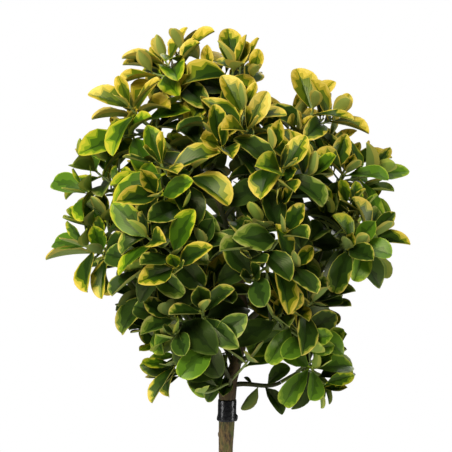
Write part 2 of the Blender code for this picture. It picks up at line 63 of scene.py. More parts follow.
# The trunk: height, sideways lean along X and Y, and radius. Its foot flares into lobes.
TRUNK = (
    (0.000, 0.0000, 0.0000, 0.0172),
    (0.010, 0.0001, 0.0000, 0.0138),
    (0.030, 0.0002, 0.0001, 0.0106),
    (0.080, 0.0004, 0.0005, 0.0092),
    (0.220, 0.0010, 0.0020, 0.0083),
    (0.424, 0.0008, 0.0015, 0.0080),
    (0.450, 0.0018, 0.0008, 0.0087),
    (0.470, 0.0023, 0.0002, 0.0090),
    (0.490, 0.0027, 0.0000, 0.0104),
    (0.503, 0.0052, 0.0000, 0.0086),
    (0.520, 0.0112, 0.0010, 0.0068),
    (0.545, 0.0188, 0.0030, 0.0060),
    (0.585, 0.0215, 0.0060, 0.0052),
    (0.630, 0.0150, 0.0070, 0.0043),
    (0.665, 0.0085, 0.0050, 0.0034),
)
FLARE_LOBES, FLARE_TURN = 5, 0.6
FLARE_DEPTH, FLARE_HEIGHT = 0.13, 0.022
TRUNK_STEP, TRUNK_AROUND = 0.0022, 48

# The bark's relief: fissures, with their fractal's roughness, spacing and octaves, a slow swell,
# and knobs by height, side, size and width.
FISSURE_DEPTH, FISSURE_GRAIN, FISSURE_FRACTAL = 0.00042, Vector((7.2, 7.2, 60)), (1.0, 2.0, 3)
SWELL_SHARE, SWELL_GRAIN = 0.035, Vector((1, 1, 28))
KNOBS = (
    (0.4415, math.radians(180), 0.0017, 0.0015),
    (0.4760, math.radians(200), 0.0008, 0.0040),
    (0.4970, math.radians(150), 0.0016, 0.0036),
)
# Scars of leaves swell the boughs at even steps, from a start of each bough's own.
SCAR_SWELL, SCAR_STEP, SCAR_SHARPNESS, SCAR_STARTS = 0.05, 0.9, 6, 6
BOUGH_UNEVEN, BOUGH_GRAIN = 0.05, 220
BOUGH_SIDES, TWIG_SIDES = 10, 7

# The tape: its ends and radius, its turns and how far each steps in, its wrinkles, its thinned
# ends, and a lump by height, side, size and width.
TAPE_BOTTOM, TAPE_TOP, TAPE_RADIUS = 0.4575, 0.4830, 0.0106
TAPE_TURNS, TAPE_TURN_STEP = 3, 0.00006
TAPE_WRINKLE, TAPE_GRAIN = 0.00022, Vector((4, 4, 260))
TAPE_END_THINNED, TAPE_END_SHARE = 0.0009, 0.03
TAPE_LUMP = (0.4602, math.radians(186), 0.0012, 0.0032)
TAPE_RINGS, TAPE_AROUND, TAPE_CREASE = 44, 56, math.radians(50)

# The knot of the tape's end: depth, width and height, the side it is on, how near its rings come
# to its poles, and its creases.
KNOT, KNOT_FLATTENED = (0.0044, 0.0056, 0.0088), 1.6
KNOT_SIDE, KNOT_SINK = math.radians(-18), 0.0002
KNOT_RINGS, KNOT_AROUND, KNOT_POLE = 12, 16, 0.04
KNOT_CREASE, KNOT_GRAIN = 0.12, (1.5, 2.5, 4.0)

# The tiers of the head, its tufts, and the boughs, as in the solids.
Tier = namedtuple("Tier", "name height fall reaches count first")
TIERS = (
    Tier("skirt", 0.520, 0.10, (0.166, 0.120, 0.112, 0.120), 4, 5),
    Tier("low", 0.586, 0.10, (0.158, 0.166, 0.136, 0.166), 5, 180),
    Tier("middle", 0.655, -0.05, (0.212, 0.186, 0.206, 0.190), 7, 188),
    Tier("high", 0.724, -0.02, (0.198, 0.172, 0.204, 0.178), 6, 180),
    Tier("shoulder", 0.782, 0.22, (0.136, 0.124, 0.166, 0.132), 4, 190),
)
TUFTS = (
    ("left", (-0.054, 0.010, 0.850)),
    ("top", (0.006, -0.012, 0.838)),
    ("right", (0.096, 0.000, 0.790)),
)
BOUGH_ORDER = ("tuft", "skirt", "low", "middle", "high", "shoulder")
TUFT_SHARE = 0.78
MASS_RADIUS = 0.073
MIDDLE_HEIGHT_PLAY = 0.009
STEM_LENGTH, STEM_BEND_AT, STEM_TOP = 0.036, 0.55, 0.003
STEM_CLIMB, STEM_ON_TRUNK_WITHIN = 0.020, 0.062
STEM_RADII = (0.0023, 0.0021, 0.0019)
SOLID_STEM_RADII, SOLID_STEM_STEPS = (0.0021 * 1.12, 0.0021 * 1.06), 8
BOUGH_TIP_RADIUS, BOUGH_TIP_SHARE = 0.0022, 0.8
BOUGH_THICKENING, BOUGH_MOST_SHARE = 0.014, 0.80
BOUGH_PULL = 0.36
BOUGH_STEPS, BOUGH_FINE_STEPS = 6, 36
LEAST_BOUGH, LEAST_BOUGH_RADIUS = 0.012, 0.0019
FIRST_FORK_HEIGHT, FORK_STATION = 0.492, 0.004
FORK_FIRST, FORK_LAST = 0.15, 0.80
FORK_GAP, FORK_APART = 0.009, 0.7
FORK_INSIDE, FORK_CLEAR, LIMB_CLEAR = 0.001, 0.016, 0.002
FORK_FOLLOWS, FORK_LEAST_COSINE = 0.55, 0.05
SECOND_FORK_COST = 0.010
TIP_RISE = 0.30
STEEPNESS, CLIMB_WEIGHT, DROP_WEIGHT = 0.85, 0.8, 3.0
# Leaves and twigs keep clear of the trunk above this height and of the boughs, as plain tubes.
LEAFY_FROM, TRUNK_GUARD_SIDES = 0.4, 8
BOUGH_GUARD_STRIDE, BOUGH_GUARD_SIDES = 4, 5

# Shoots by the rule of the solids, in more steps and at their real thickness.
SHOOTS = 5
SHOOT_REACH = 0.034
SHOOT_SPREAD = math.radians(104)
LEAN_FROM, LEAN_PLAY = 0.25, (0.88, 1.08)
TURN_PLAY, REACH_PLAY = 0.2, (0.88, 1.14)
LOW_AIM_HEIGHT, HIGH_AIM_HEIGHT = 0.510, 0.680
AIM_RISES = (-0.40, 0.45)
OUTWARD_RISE = 0.03
SHOOT_FROM, SHOOT_FROM_FALL = 0.95, 0.5
SHOOT_FOLLOWS, SHOOT_TIP_RISE = 0.7, 0.35
SHOOT_PULLS = (0.35, 0.3)
SHOOT_RADIUS, SHOOT_TAPER = 0.0017, 0.3
SHOOT_SIDES, SHOOT_STEPS = 3, 6

# The rosette that faces the viewer at the head's lower right, and the clear space before it.
FRONT_SHOOT, FRONT_SHOOT_WAY, FRONT_SHOOT_REACH = ("skirt_1", "0"), (0.06, -1.0, 0.10), 0.046
FRONT_MIDDLE, FRONT_CLEAR = Vector((0.0975, -0.024, 0.517)), 0.027

# A side twig leaves the middle of its shoot, leans out from it and turns up again.
SIDE_TWIG_MARK, SIDE_TWIG_VIGOUR = "t0", 0.86
SIDE_TWIG_LEAN, SIDE_TWIG_LEAN_PLAY = math.radians(58), (0.8, 1.2)
SIDE_TWIG_LENGTH, SIDE_TWIG_LENGTH_PLAY = 0.022, (0.8, 1.3)
SIDE_TWIG_TURN_PLAY, SIDE_TWIG_OUT = 0.5, 0.25
SIDE_TWIG_RISE, SIDE_TWIG_TIP_RISE = 0.25, 0.6
SIDE_TWIG_PULLS = (0.35, 0.3)
SIDE_TWIG_RADIUS, SIDE_TWIG_STEPS = 0.0012, 4
SIDE_TWIG_RANKS, LEAST_LEAVES = 2, 2

# Pairs of leaves back from a tip: distance, splay in degrees, and share of a full leaf.
Rank = namedtuple("Rank", "back splay length")
RANKS = (
    Rank(0.0010, 26, 0.62),
    Rank(0.0055, 48, 0.90),
    Rank(0.0130, 72, 1.03),
    Rank(0.0270, 88, 1.02),
)
LEAF_LENGTH, LENGTH_PLAY = 0.0600, (0.86, 1.1)
# Rosettes turn up, the more so the higher they stand, and out towards the light.
TIP_TURNS_UP = (0.10, 0.60)
TIP_FOLLOWS, TIP_TURNS_OUT = 0.8, 0.55
# The plant is taken to have grown with its front to the light, so its rosettes lean that way too.
LIGHT, TIP_TURNS_TO_LIGHT = Vector((0.0, -0.93, 0.37)), 0.65
LEAF_TURN_PLAY, SPLAY_PLAY = 13, 9
LEAF_ROLL = math.radians(24)
# Leaves lift a little, but low in the head and left of this line they droop.
LEAF_LIFT, LEAF_DROOP = 0.06, 0.60
DROOP_BELOW, DROOP_OVER, DROOP_LEFT_OF = 0.575, 0.06, 0.05
# How much of its reach away from its mass a leaf gives up to lie on the mass's outside, by rank.
LIES_FLAT = (0.0, 0.1, 0.25, 0.4)
FACES_ALONG, FACES_AWAY, FACES_OUT, FACES_UP, FACES_LIGHT = 0.60, 0.20, 0.20, 0.30, 0.35
# Ways to hold a leaf, tried in turn until one is clear: degrees turned and splayed, and length.
HOLDS = (
    (0, 0, 1.0), (16, 6, 1.0), (-16, 6, 1.0), (0, -14, 0.95),
    (28, 12, 0.9), (-28, 12, 0.9), (0, 20, 0.84),
)
# How far leaves may reach past their mass's radius, and how much less so to its sides.
SPILL, SIDE_SQUEEZE = 1.26, 1.12
# The head's underside, from its left to its right, open at the fork, and the gap between its tufts.
LOWEST = (
    (-0.210, 0.640), (-0.167, 0.620), (-0.133, 0.598), (-0.117, 0.552), (-0.101, 0.512),
    (-0.078, 0.468), (-0.060, 0.474), (-0.051, 0.522), (-0.044, 0.512), (-0.039, 0.480),
    (-0.012, 0.484), (-0.002, 0.500), (0.004, 0.530), (0.014, 0.530), (0.020, 0.522),
    (0.032, 0.522), (0.040, 0.536), (0.050, 0.532), (0.058, 0.498), (0.064, 0.470),
    (0.122, 0.466), (0.144, 0.492), (0.162, 0.522), (0.166, 0.570), (0.172, 0.597),
    (0.193, 0.634), (0.215, 0.650),
)
TWIGS_HANG_LOWER = 0.03
NOTCH = ((0.040, 0.910), (0.048, 0.828), (0.068, 0.824), (0.077, 0.862), (0.090, 0.910))
# Neighbours are looked for in cells of this size.
CELL = 0.04

# A blade of length 1: petiole, outline, and the rows that follow its side veins.
ROWS = 11
PETIOLE, PETIOLE_HALF, PETIOLE_TAPER = 0.10, 0.020, 0.4
BASE_POWER, TIP_POWER = 0.80, (0.44, 0.74)
TIP_CROWDING = 1.5
VEIN_SLANT, VEINS = 0.19, 10.5
CRENATION = 0.004
WIDE, BEND = (0.43, 0.56), 0.10
# The underside's points from edge to edge, and how far each lies below the top: the midrib stands out.
UNDER_PLACES, UNDER_SINKS = (-0.64, 0.0, 0.64), (0.016848, 0.0276, 0.016848)
# Each half folds up from the midrib, the steeper the nearer the edge.
FOLD, FOLD_INSIDE, FOLD_TO_EDGE = (0.20, 0.75), 0.88, 0.12
# The edges wave, out of step with each other, from the petiole on and not at the tip.
WAVE, WAVE_PLAY, WAVES = 0.022, (0.3, 1.0), 1.7
WAVE_OUT_OF_STEP, WAVE_STARTS, WAVE_ENDS = 1.9, 3, 5
# Blades cup inward at a tip, stand out behind it, and arch down further back.
CURLS = ((-0.45, 0.10), (0.00, 0.60), (0.40, 1.10))
CURL_POWER, CURL_STEPS = 1.4, 16
CURL_OF_RANK = (0, 1, 2, 2)
HEARTS = 8
Form = namedtuple("Form", "wide tip fold curl wave phase bend heart chance")
# The few points of a blade that show what it would touch.
COARSE_SHARES, COARSE_PLACES = (0.14, 0.4, 0.64, 0.86, 0.99), (-0.9, -0.45, 0.0, 0.45, 0.9)

# The heart: its end and width on the narrowest, and what the widest adds. It widens towards its
# base, ends in a point, and its lobes are the larger the narrower it is.
HEART_END, HEART_WIDE = (0.60, 0.48), (0.42, 0.54)
HEART_BASE, HEART_POINT, HEART_LIMITS = 0.6, 2.2, (0.08, 0.93)
LOBE, LOBE_PLAY, LOBE_SCALE = 0.17, 0.24, 1.5
# The core's share of the heart, then the shares of the rest that the zone and the pale part take.
# The core narrows towards the tip: partly the heart's darker middle, partly painted shade at the leaf's base.
CORE_SHARE, CORE_FALL, CORE_LIMITS = 0.62, 0.5, (0.12, 0.85)
ZONE_SHARE, ZONE_LIMITS = (0.36, 0.20), (0.10, 0.72)
PALE_SHARE = (0.5, 0.72)

# What each strip of a blade is.
TONE_NAMES = ("margin", "pale", "zone", "heart", "core", "underside", "underside_edge")
TONE_ROUGHNESS = (0.38, 0.36, 0.34, 0.33, 0.33, 0.60, 0.60)
TONES = len(TONE_NAMES)
MARGIN, PALE, ZONE, HEART, CORE, UNDER, UNDER_EDGE = range(TONES)
TOP_TONES = (MARGIN, PALE, ZONE, HEART, CORE, CORE, HEART, ZONE, PALE, MARGIN)
UNDER_TONES = (UNDER_EDGE, UNDER, UNDER, UNDER_EDGE)

# Each shade of leaf, with a colour for each tone in the order of TONE_NAMES, and its hearts,
# from 0, the widest, to 7, the narrowest.
SHADES = {
    # The inner shade is older leaves inside the head: their own plain dark green, darkened further as painted
    # shade.
    "inner": ("#56622a", "#43541c", "#354817", "#273810", "#1a290c", "#4d5e2a", "#5c6630"),
    "deep": ("#9c9c50", "#7c8a34", "#566c20", "#324a15", "#20330f", "#6e8040", "#7c8440"),
    "edged": ("#c2b050", "#949434", "#52681a", "#273d0e", "#1a2d09", "#72843e", "#929044"),
    "fresh": ("#a6b23a", "#8aa22c", "#6a8a20", "#4f7219", "#3a5814", "#82983c", "#a0aa44"),
    "lime": ("#beb42e", "#a0a822", "#728c12", "#40600e", "#2a460a", "#82983c", "#a8aa42"),
    "gold": ("#d2b848", "#baaa34", "#6e7a12", "#2d460c", "#1c330a", "#7e9042", "#aea64a"),
    "yellow": ("#dcc252", "#ceb43c", "#a69822", "#5a6a10", "#384c0c", "#929c46", "#bcac4a"),
}
HEARTS_OF = {
    "inner": (0, 1, 2),
    "deep": (0, 2, 3, 4),
    "edged": (1, 2, 3),
    "fresh": (0, 2, 3),
    "lime": (2, 3, 4, 5),
    "gold": (3, 4, 5, 6),
    "yellow": (5, 6, 7),
}

# How gold a leaf is: by its height, its rank, its depth in its mass, and the head's hollow.
# Depth and hollow take gold away as painted shade of the head's inside; the deepest leaves turn inner.
GOLD_LEAST, GOLD_BY_HEIGHT, GOLD_BY_DEPTH, GOLD_BY_HOLLOW = 0.14, 0.72, -0.75, -0.20
GOLD_BY_RANK, GOLD_PLAY, SPRAY_PLAY = (0.24, 0.12, -0.05, -0.30), 0.16, 0.16
HEIGHT_FROM, HEIGHT_OVER, HEIGHT_MOST = 0.60, 0.20, 1.15
DEPTH_FROM, DEPTH_OVER = -0.008, 0.05
HOLLOW_RADIUS, HOLLOW_TOP, HOLLOW_FADE = 0.13, 0.80, 0.10
YELLOW_ABOVE, GOLD_ABOVE, EDGED_ABOVE, INNER_BELOW = 1.0, 0.62, 0.40, 0.05
# Shares of lime and edged leaves, and what the left side adds to those of lime.
LIME_IN_GOLD, LIME_IN_EDGED, EDGED_IN_DEEP = (0.15, 0.55), (0.3, 0.4), 0.34
LEFT_FROM, LEFT_OVER = 0.02, 0.10
# Where the height doesn't tell: gold low on the left, fresh low on the right and round the rim.
GOLD_LEFT_OF, GOLD_UNDER = -0.05, 0.51
FRESH_RIGHT_OF, FRESH_BEFORE, FRESH_UNDER = 0.05, -0.02, 0.56
RIM_FROM, RIM_UNDER, FRESH_ON_RIM = 0.15, 0.57, 0.28
STRAY_GOLD, STRAY_RANKS = 0.04, 3
# Single gold leaves that stand out lower in the head: where they are, seen from the front.
GOLD_SPOTS = ((0.041, 0.583), (0.074, 0.606), (-0.142, 0.640), (-0.180, 0.650), (0.195, 0.655))
GOLD_SPOT_RADIUS, GOLD_SPOT_BEFORE = 0.016, 0.03
# A leaf's shade is chosen by this place along it.
SHADE_AT = 0.6

# Leaves that two low boughs still bear by themselves: the bough's mass and point, the leaf's way
# and face, its length, rank and shade.
LoneLeaf = namedtuple("LoneLeaf", "mass point way face length rank shade")
LONE_LEAVES = (
    LoneLeaf("low_2", 6, (-0.14, -0.72, -0.68), (0.05, -0.68, 0.72), 0.034, 0, "deep"),
    LoneLeaf("low_2", 13, (-0.45, -0.25, -0.85), (-0.35, -0.85, 0.30), 0.043, 2, "deep"),
    LoneLeaf("skirt_1", 17, (-0.80, -0.15, 0.50), (0.30, -0.50, 0.80), 0.014, 0, "inner"),
    LoneLeaf("skirt_1", 21, (-0.50, -0.12, -0.86), (0.60, 0.75, -0.30), 0.036, 3, "deep"),
    LoneLeaf("skirt_1", 24, (0.62, -0.35, -0.60), (0.10, -0.80, 0.60), 0.040, 2, "inner"),
    LoneLeaf("skirt_1", 26, (0.45, -0.30, 0.62), (-0.20, -0.85, 0.50), 0.036, 1, "deep"),
)

# The record's slot for the leaves of each tier. Those of the others are gold.
SLOT_OF_TIER = {"skirt": "foliage_green", "low": "foliage_green", "middle": "foliage_lime"}

# Soft lamps that look at the head's middle: place, size, power, and how much of it makes gloss.
Lamp = namedtuple("Lamp", "name place size power gloss")
LAMPS = (
    Lamp("key_light", (-0.7, -1.7, 1.9), 0.9, 54, 1.0),
    Lamp("left_light", (-1.8, -0.9, 0.4), 0.7, 15, 1.0),
    Lamp("right_light", (1.9, -0.4, 0.3), 0.7, 16, 0.4),
    Lamp("top_light", (0.1, 0.2, 2.3), 1.0, 9, 1.0),
    Lamp("back_light", (0.5, 1.9, 1.5), 0.9, 8, 0.15),
)
CROWN_MIDDLE = Vector((0.0, 0.0, 0.68))
FLOOR_HALF = 1.3
SURROUND_GLOW = 0.12
# The camera: what it looks at, from how far and how steeply, and how wide its view is there.
VIEW_AIM = Vector((0.0011, 0.0, 0.6806))
VIEW_DISTANCE, VIEW_RISE = 1.8, math.radians(3)
VIEW_WIDTH, SENSOR_WIDTH = 0.5135, 36

Mass = namedtuple("Mass", "name tier centre root on_trunk")
Limb = namedtuple("Limb", "name points radii")
Shoot = namedtuple("Shoot", "mass number points radii outward vigour")
Leaf = namedtuple("Leaf", "origin along normal length form shade")


def clamp(value, low=0.0, high=1.0):
    return min(max(value, low), high)


def evenly(start, end, steps):
    """Values that go from a start to an end in even steps."""
    return [start + (end - start) * i / steps for i in range(steps + 1)]


def mound(away, size, wide):
    """The height of a rounded lump this far from its middle."""
    return size * math.exp(-((away / wide) ** 2))


def sRGB(colour):
    """A hex colour as Blender's linear values."""
    parts = [int(colour[i : i + 2], 16) / 255 for i in (1, 3, 5)]
    return tuple(p / 12.92 if p <= 0.04045 else ((p + 0.055) / 1.055) ** 2.4 for p in parts) + (1.0,)


def add(tree, kind, settings=None, **inputs):
    """Adds a node. Inputs are values or other nodes' output sockets; _ in a name is a space."""
    node = tree.nodes.new(kind)
    for name, value in (settings or {}).items():
        setattr(node, name, value)
    for name, value in inputs.items():
        key = int(name[1:]) if name[1:].isdigit() and name[0] == "i" else name.replace("_", " ")
        socket = node.inputs[key]
        if isinstance(value, bpy.types.NodeSocket):
            tree.links.new(value, socket)
        else:
            socket.default_value = value
    return node


def new_material(name):
    made = bpy.data.materials.new(name)
    made.use_nodes = True
    tree = made.node_tree
    return made, tree, tree.nodes["Principled BSDF"]


def blade_material(name, colour, roughness):
    """Living blade: leathery and waxed, so it is glossy, with fine veins pressed into it."""
    made, tree, shader = new_material(name)
    shader.inputs["Base Color"].default_value = sRGB(colour)
    shader.inputs["Roughness"].default_value = roughness
    shader.inputs["IOR"].default_value = 1.36
    shader.inputs["Specular Tint"].default_value = sRGB("#e4e8a8")
    place = add(tree, "ShaderNodeAttribute", {"attribute_name": "blade"})
    parts = add(tree, "ShaderNodeSeparateXYZ", Vector=place.outputs["Vector"])
    side = add(tree, "ShaderNodeMath", {"operation": "ABSOLUTE"}, i0=parts.outputs["X"])
    slant = add(tree, "ShaderNodeMath", {"operation": "MULTIPLY"}, i0=side.outputs[0], i1=VEIN_SLANT * 2)
    along = add(tree, "ShaderNodeMath", {"operation": "SUBTRACT"}, i0=parts.outputs["Y"], i1=slant.outputs[0])
    # The side veins of VEINS stand about 4.6 mm apart on a leaf of 48 mm.
    wave = add(tree, "ShaderNodeMath", {"operation": "MULTIPLY"}, i0=along.outputs[0], i1=FULL_TURN * VEINS)
    vein = add(tree, "ShaderNodeMath", {"operation": "SINE"}, i0=wave.outputs[0])
    bump = add(tree, "ShaderNodeBump", Strength=0.06, Distance=0.0004, Height=vein.outputs[0])
    tree.links.new(bump.outputs["Normal"], shader.inputs["Normal"])
    return made


def bark_material(name, dark, light, streaks, old):
    """Living bark: matt, split into fine upright fissures and streaked, and darker above the graft with
    painted shade of the head.

    The fissures stand about 2 mm apart, the streaks 5 mm and the dusty blotches 17 mm.
    """
    made, tree, shader = new_material(name)
    place = add(tree, "ShaderNodeTexCoord")
    upright = add(tree, "ShaderNodeMapping", Vector=place.outputs["Object"], Scale=(1.0, 1.0, 0.28))
    fissure = add(tree, "ShaderNodeTexNoise", Vector=upright.outputs[0], Scale=460.0, Detail=6.0)
    fissure.inputs["Roughness"].default_value = 0.66
    streak = add(tree, "ShaderNodeTexNoise", Vector=upright.outputs[0], Scale=190.0, Detail=4.0)
    blotch = add(tree, "ShaderNodeTexNoise", Vector=place.outputs["Object"], Scale=60.0, Detail=4.0)
    height = add(tree, "ShaderNodeSeparateXYZ", Vector=place.outputs["Object"])
    ramp = add(tree, "ShaderNodeValToRGB", Fac=fissure.outputs["Fac"])
    for stop, position, colour in zip(ramp.color_ramp.elements, (0.41, 0.60), (dark, light)):
        stop.position = position
        stop.color = sRGB(colour)
    colour = ramp.outputs["Color"]
    # Each tint over the last: its pattern, where it starts and where it is full, its most, its colour.
    layers = (
        (streak.outputs["Fac"], 0.46, 0.66, 1.0, streaks),
        (blotch.outputs["Fac"], 0.55, 0.80, 1.0, "#7a6338"),
        # Painted shade: the bark darkens above the graft, where the head shades it.
        (height.outputs["Z"], 0.472, 0.484, 0.65, old),
    )
    for value, start, end, most, tint in layers:
        share = add(tree, "ShaderNodeMapRange", Value=value, From_Min=start, From_Max=end, To_Max=most)
        mixed = add(tree, "ShaderNodeMix", {"data_type": "RGBA"}, Factor=share.outputs[0], A=colour)
        mixed.inputs["B"].default_value = sRGB(tint)
        colour = mixed.outputs["Result"]
    tree.links.new(colour, shader.inputs["Base Color"])
    shader.inputs["Roughness"].default_value = 0.82
    bump = add(tree, "ShaderNodeBump", Strength=1.0, Distance=0.0008, Height=fissure.outputs["Fac"])
    tree.links.new(bump.outputs["Normal"], shader.inputs["Normal"])
    return made


def twig_material():
    """Green bark of this year's growth: satin, smooth, with a faint grain of about 1 mm."""
    made, tree, shader = new_material("green_twig_bark")
    shader.inputs["Base Color"].default_value = sRGB("#76863e")
    shader.inputs["Roughness"].default_value = 0.5
    place = add(tree, "ShaderNodeTexCoord")
    grain = add(tree, "ShaderNodeTexNoise", Vector=place.outputs["Object"], Scale=900.0, Detail=2.0)
    bump = add(tree, "ShaderNodeBump", Strength=0.3, Distance=0.0003, Height=grain.outputs["Fac"])
    tree.links.new(bump.outputs["Normal"], shader.inputs["Normal"])
    return made


def tape_material():
    """Black stretched grafting tape: soft PVC film, glossy, with wrinkles round it 2 mm apart."""
    made, tree, shader = new_material("black_graft_tape")
    place = add(tree, "ShaderNodeTexCoord")
    drawn = add(tree, "ShaderNodeMapping", Vector=place.outputs["Object"], Scale=(0.3, 0.3, 1.0))
    wrinkle = add(tree, "ShaderNodeTexNoise", Vector=drawn.outputs[0], Scale=480.0, Detail=3.0)
    ramp = add(tree, "ShaderNodeValToRGB", Fac=wrinkle.outputs["Fac"])
    for stop, colour in zip(ramp.color_ramp.elements, ("#030405", "#0d0f12")):
        stop.color = sRGB(colour)
    tree.links.new(ramp.outputs["Color"], shader.inputs["Base Color"])
    shader.inputs["Roughness"].default_value = 0.26
    shader.inputs["IOR"].default_value = 1.38
    bump = add(tree, "ShaderNodeBump", Strength=0.4, Distance=0.0004, Height=wrinkle.outputs["Fac"])
    tree.links.new(bump.outputs["Normal"], shader.inputs["Normal"])
    return made


def leaf_finishes():
    """One plain colour for each tone of each shade, in the order that the sprays count them."""
    return [
        blade_material(f"{shade}_leaf_{tone}", colour, roughness)
        for shade, colours in SHADES.items()
        for tone, colour, roughness in zip(TONE_NAMES, colours, TONE_ROUGHNESS)
    ]


def new_object(name, points, faces=(), edges=()):
    mesh = bpy.data.meshes.new(name)
    mesh.from_pydata([tuple(p) for p in points], edges, faces)
    obj = bpy.data.objects.new(name, mesh)
    bpy.context.scene.collection.objects.link(obj)
    return obj


def mark(mesh, name, kind, domain, values):
    """Writes one attribute of a mesh."""
    field = "vector" if kind == "FLOAT_VECTOR" else "value"
    mesh.attributes.new(name, kind, domain).data.foreach_set(field, values)


def directions(points):
    """The way a line runs at each of its points."""
    last = len(points) - 1
    return [(points[min(i + 1, last)] - points[max(i - 1, 0)]).normalized() for i in range(last + 1)]


def across(way):
    """A fixed way square to a line, level unless the line is nearly upright."""
    helper = UP if abs(way.z) < 0.8 else Vector((1.0, 0.0, 0.0))
    return helper.cross(way).normalized()


def tube(points, radii, sides):
    """A closed tube along a line, as points and faces."""
    rings = []
    ways = directions(points)
    side = across(ways[0])
    for point, way, radius in zip(points, ways, radii):
        side = (side - way * side.dot(way)).normalized()
        other = way.cross(side)
        for k in range(sides):
            turn = FULL_TURN * k / sides
            rings.append(point + (side * math.cos(turn) + other * math.sin(turn)) * radius)
    return rings, ring_faces(len(points), sides)


def ring_faces(count, sides):
    """The faces between rings of points, closed at both ends."""
    faces = [tuple(reversed(range(sides)))]
    for ring in range(count - 1):
        low = ring * sides
        for k in range(sides):
            after = (k + 1) % sides
            faces.append((low + k, low + after, low + sides + after, low + sides + k))
    faces.append(tuple(range((count - 1) * sides, count * sides)))
    return faces


def bezier(start, first, second, end, steps):
    line = []
    for i in range(steps + 1):
        t = i / steps
        s = 1 - t
        line.append(start * s**3 + first * 3 * s * s * t + second * 3 * s * t * t + end * t**3)
    return line


def trunk_at(height):
    """Centre and radius of the trunk at a height."""
    for low, high in zip(TRUNK, TRUNK[1:]):
        if height <= high[0]:
            share = (height - low[0]) / (high[0] - low[0])
            x, y, radius = (low[i] + (high[i] - low[i]) * share for i in (1, 2, 3))
            return Vector((x, y, height)), radius
    return Vector((TRUNK[-1][1], TRUNK[-1][2], height)), TRUNK[-1][3]


def reach_at(reaches, azimuth):
    """A tier's reach on a quarter ellipse between the two sides next to this azimuth."""
    quarter = int(azimuth % 360 // 90)
    turn = math.radians(azimuth % 90)
    near, far = reaches[quarter], reaches[(quarter + 1) % 4]
    return near * far / math.hypot(far * math.cos(turn), near * math.sin(turn))


def all_masses():
    """The tufts, then the masses of each tier in turn round the head."""
    centres = [(f"tuft_{name}", "tuft", Vector(centre)) for name, centre in TUFTS]
    for tier in TIERS:
        chance = random.Random(tier.name)
        for number in range(tier.count):
            azimuth = tier.first + 360 * number / tier.count
            out = reach_at(tier.reaches, azimuth) - MASS_RADIUS
            turn = math.radians(azimuth)
            x, y = out * math.cos(turn), out * math.sin(turn)
            height = tier.height - tier.fall * x + chance.uniform(-1, 1) * MIDDLE_HEIGHT_PLAY
            centre = Vector((CROWN_AXIS_X + x, y, height))
            centres.append((f"{tier.name}_{number + 1}", tier.name, centre))
    return [Mass(name, tier, centre, *stem_on_trunk(centre, tier)) for name, tier, centre in centres]


def stem_on_trunk(centre, tier):
    """For a skirt mass close to the trunk, the place where its stem leaves the trunk's middle."""
    place, _ = trunk_at(centre.z - STEM_CLIMB)
    near = Vector((centre.x - place.x, centre.y - place.y)).length < STEM_ON_TRUNK_WITHIN
    return (place, True) if tier == "skirt" and near else (None, False)


def line_length(points):
    return sum((b - a).length for a, b in zip(points, points[1:]))


def bough_from(limb, index, mass, steps=BOUGH_STEPS):
    """The line of a bough that leaves a limb at one of its points and rises towards a mass."""
    start = limb.points[index]
    way = directions(limb.points)[index]
    entering = ((mass.centre - start).normalized() + UP * TIP_RISE).normalized()
    root = mass.centre - entering * STEM_LENGTH
    aim = root - start
    leaving = (aim.normalized() + way * FORK_FOLLOWS).normalized()
    pull = aim.length * BOUGH_PULL
    return bezier(start, start + leaving * pull, root - entering * pull, root, steps)


def bough_cost(limb, index, mass, length):
    """Short boughs are best, as are those that climb, and those that leave the trunk."""
    start = limb.points[index]
    aim = mass.centre - start
    flat = math.hypot(aim.x, aim.y)
    cost = length + CLIMB_WEIGHT * max(0.0, STEEPNESS * flat - aim.z) + DROP_WEIGHT * max(0.0, -aim.z)
    if limb.name != "trunk":
        cost += SECOND_FORK_COST
    way = directions(limb.points)[index]
    return cost if aim.normalized().dot(way) > FORK_LEAST_COSINE else None


def bough_radii(limb, index, length):
    """A bough is the thicker the longer it is, and always thinner than the limb that bears it."""
    base = min(BOUGH_TIP_RADIUS + BOUGH_THICKENING * length, limb.radii[index] * BOUGH_MOST_SHARE)
    return evenly(base, min(BOUGH_TIP_RADIUS, base * BOUGH_TIP_SHARE), BOUGH_STEPS)


def too_near(points, radii, limbs, parent):
    """True if a bough would run into a limb past its own fork."""
    start = points[0]
    nearest = min(range(len(parent.points)), key=lambda i: (parent.points[i] - start).length)
    inside = FORK_INSIDE + parent.radii[nearest]
    for point, radius in zip(points, radii):
        away = (point - start).length
        if away < inside:
            continue
        for limb in limbs:
            if limb is parent and away < FORK_CLEAR:
                continue
            if any((point - p).length < radius + r + LIMB_CLEAR for p, r in zip(limb.points, limb.radii)):
                return True
    return False


def fine_line(points, radii, steps=4):
    """More points along a line, for measuring how near two limbs run."""
    fine, thick = [], []
    for (a, b), (r, s) in zip(zip(points, points[1:]), zip(radii, radii[1:])):
        for i in range(steps):
            fine.append(a.lerp(b, i / steps))
            thick.append(r + (s - r) * i / steps)
    return fine + [points[-1]], thick + [radii[-1]]


def forks_meet(points, other):
    """True if two boughs would leave a limb too near each other, unless on opposite sides of it."""
    (start, after), (other_start, other_after) = points[:2], other[:2]
    apart = 1 - (after - start).normalized().dot((other_after - other_start).normalized())
    return (start - other_start).length + apart * FORK_GAP * FORK_APART < FORK_GAP


def best_bough(mass, limbs, obstacles, forks):
    """The cheapest clear bough to a mass: its cost, bearer, the point it leaves, points and radii."""
    best = None
    for limb in limbs:
        for index in range(1, len(limb.points) - 1):
            along = index / len(limb.points)
            if limb.name != "trunk" and not FORK_FIRST < along < FORK_LAST:
                continue
            points = bough_from(limb, index, mass)
            if any(forks_meet(points, other) for other in forks):
                continue
            length = line_length(points)
            cost = bough_cost(limb, index, mass, length)
            radii = bough_radii(limb, index, length)
            too_small = length < LEAST_BOUGH or radii[0] < LEAST_BOUGH_RADIUS
            if cost is None or too_small or (best and cost >= best[0]):
                continue
            if not too_near(*fine_line(points, radii), obstacles, limb):
                best = (cost, limb, index, points, radii)
    return best


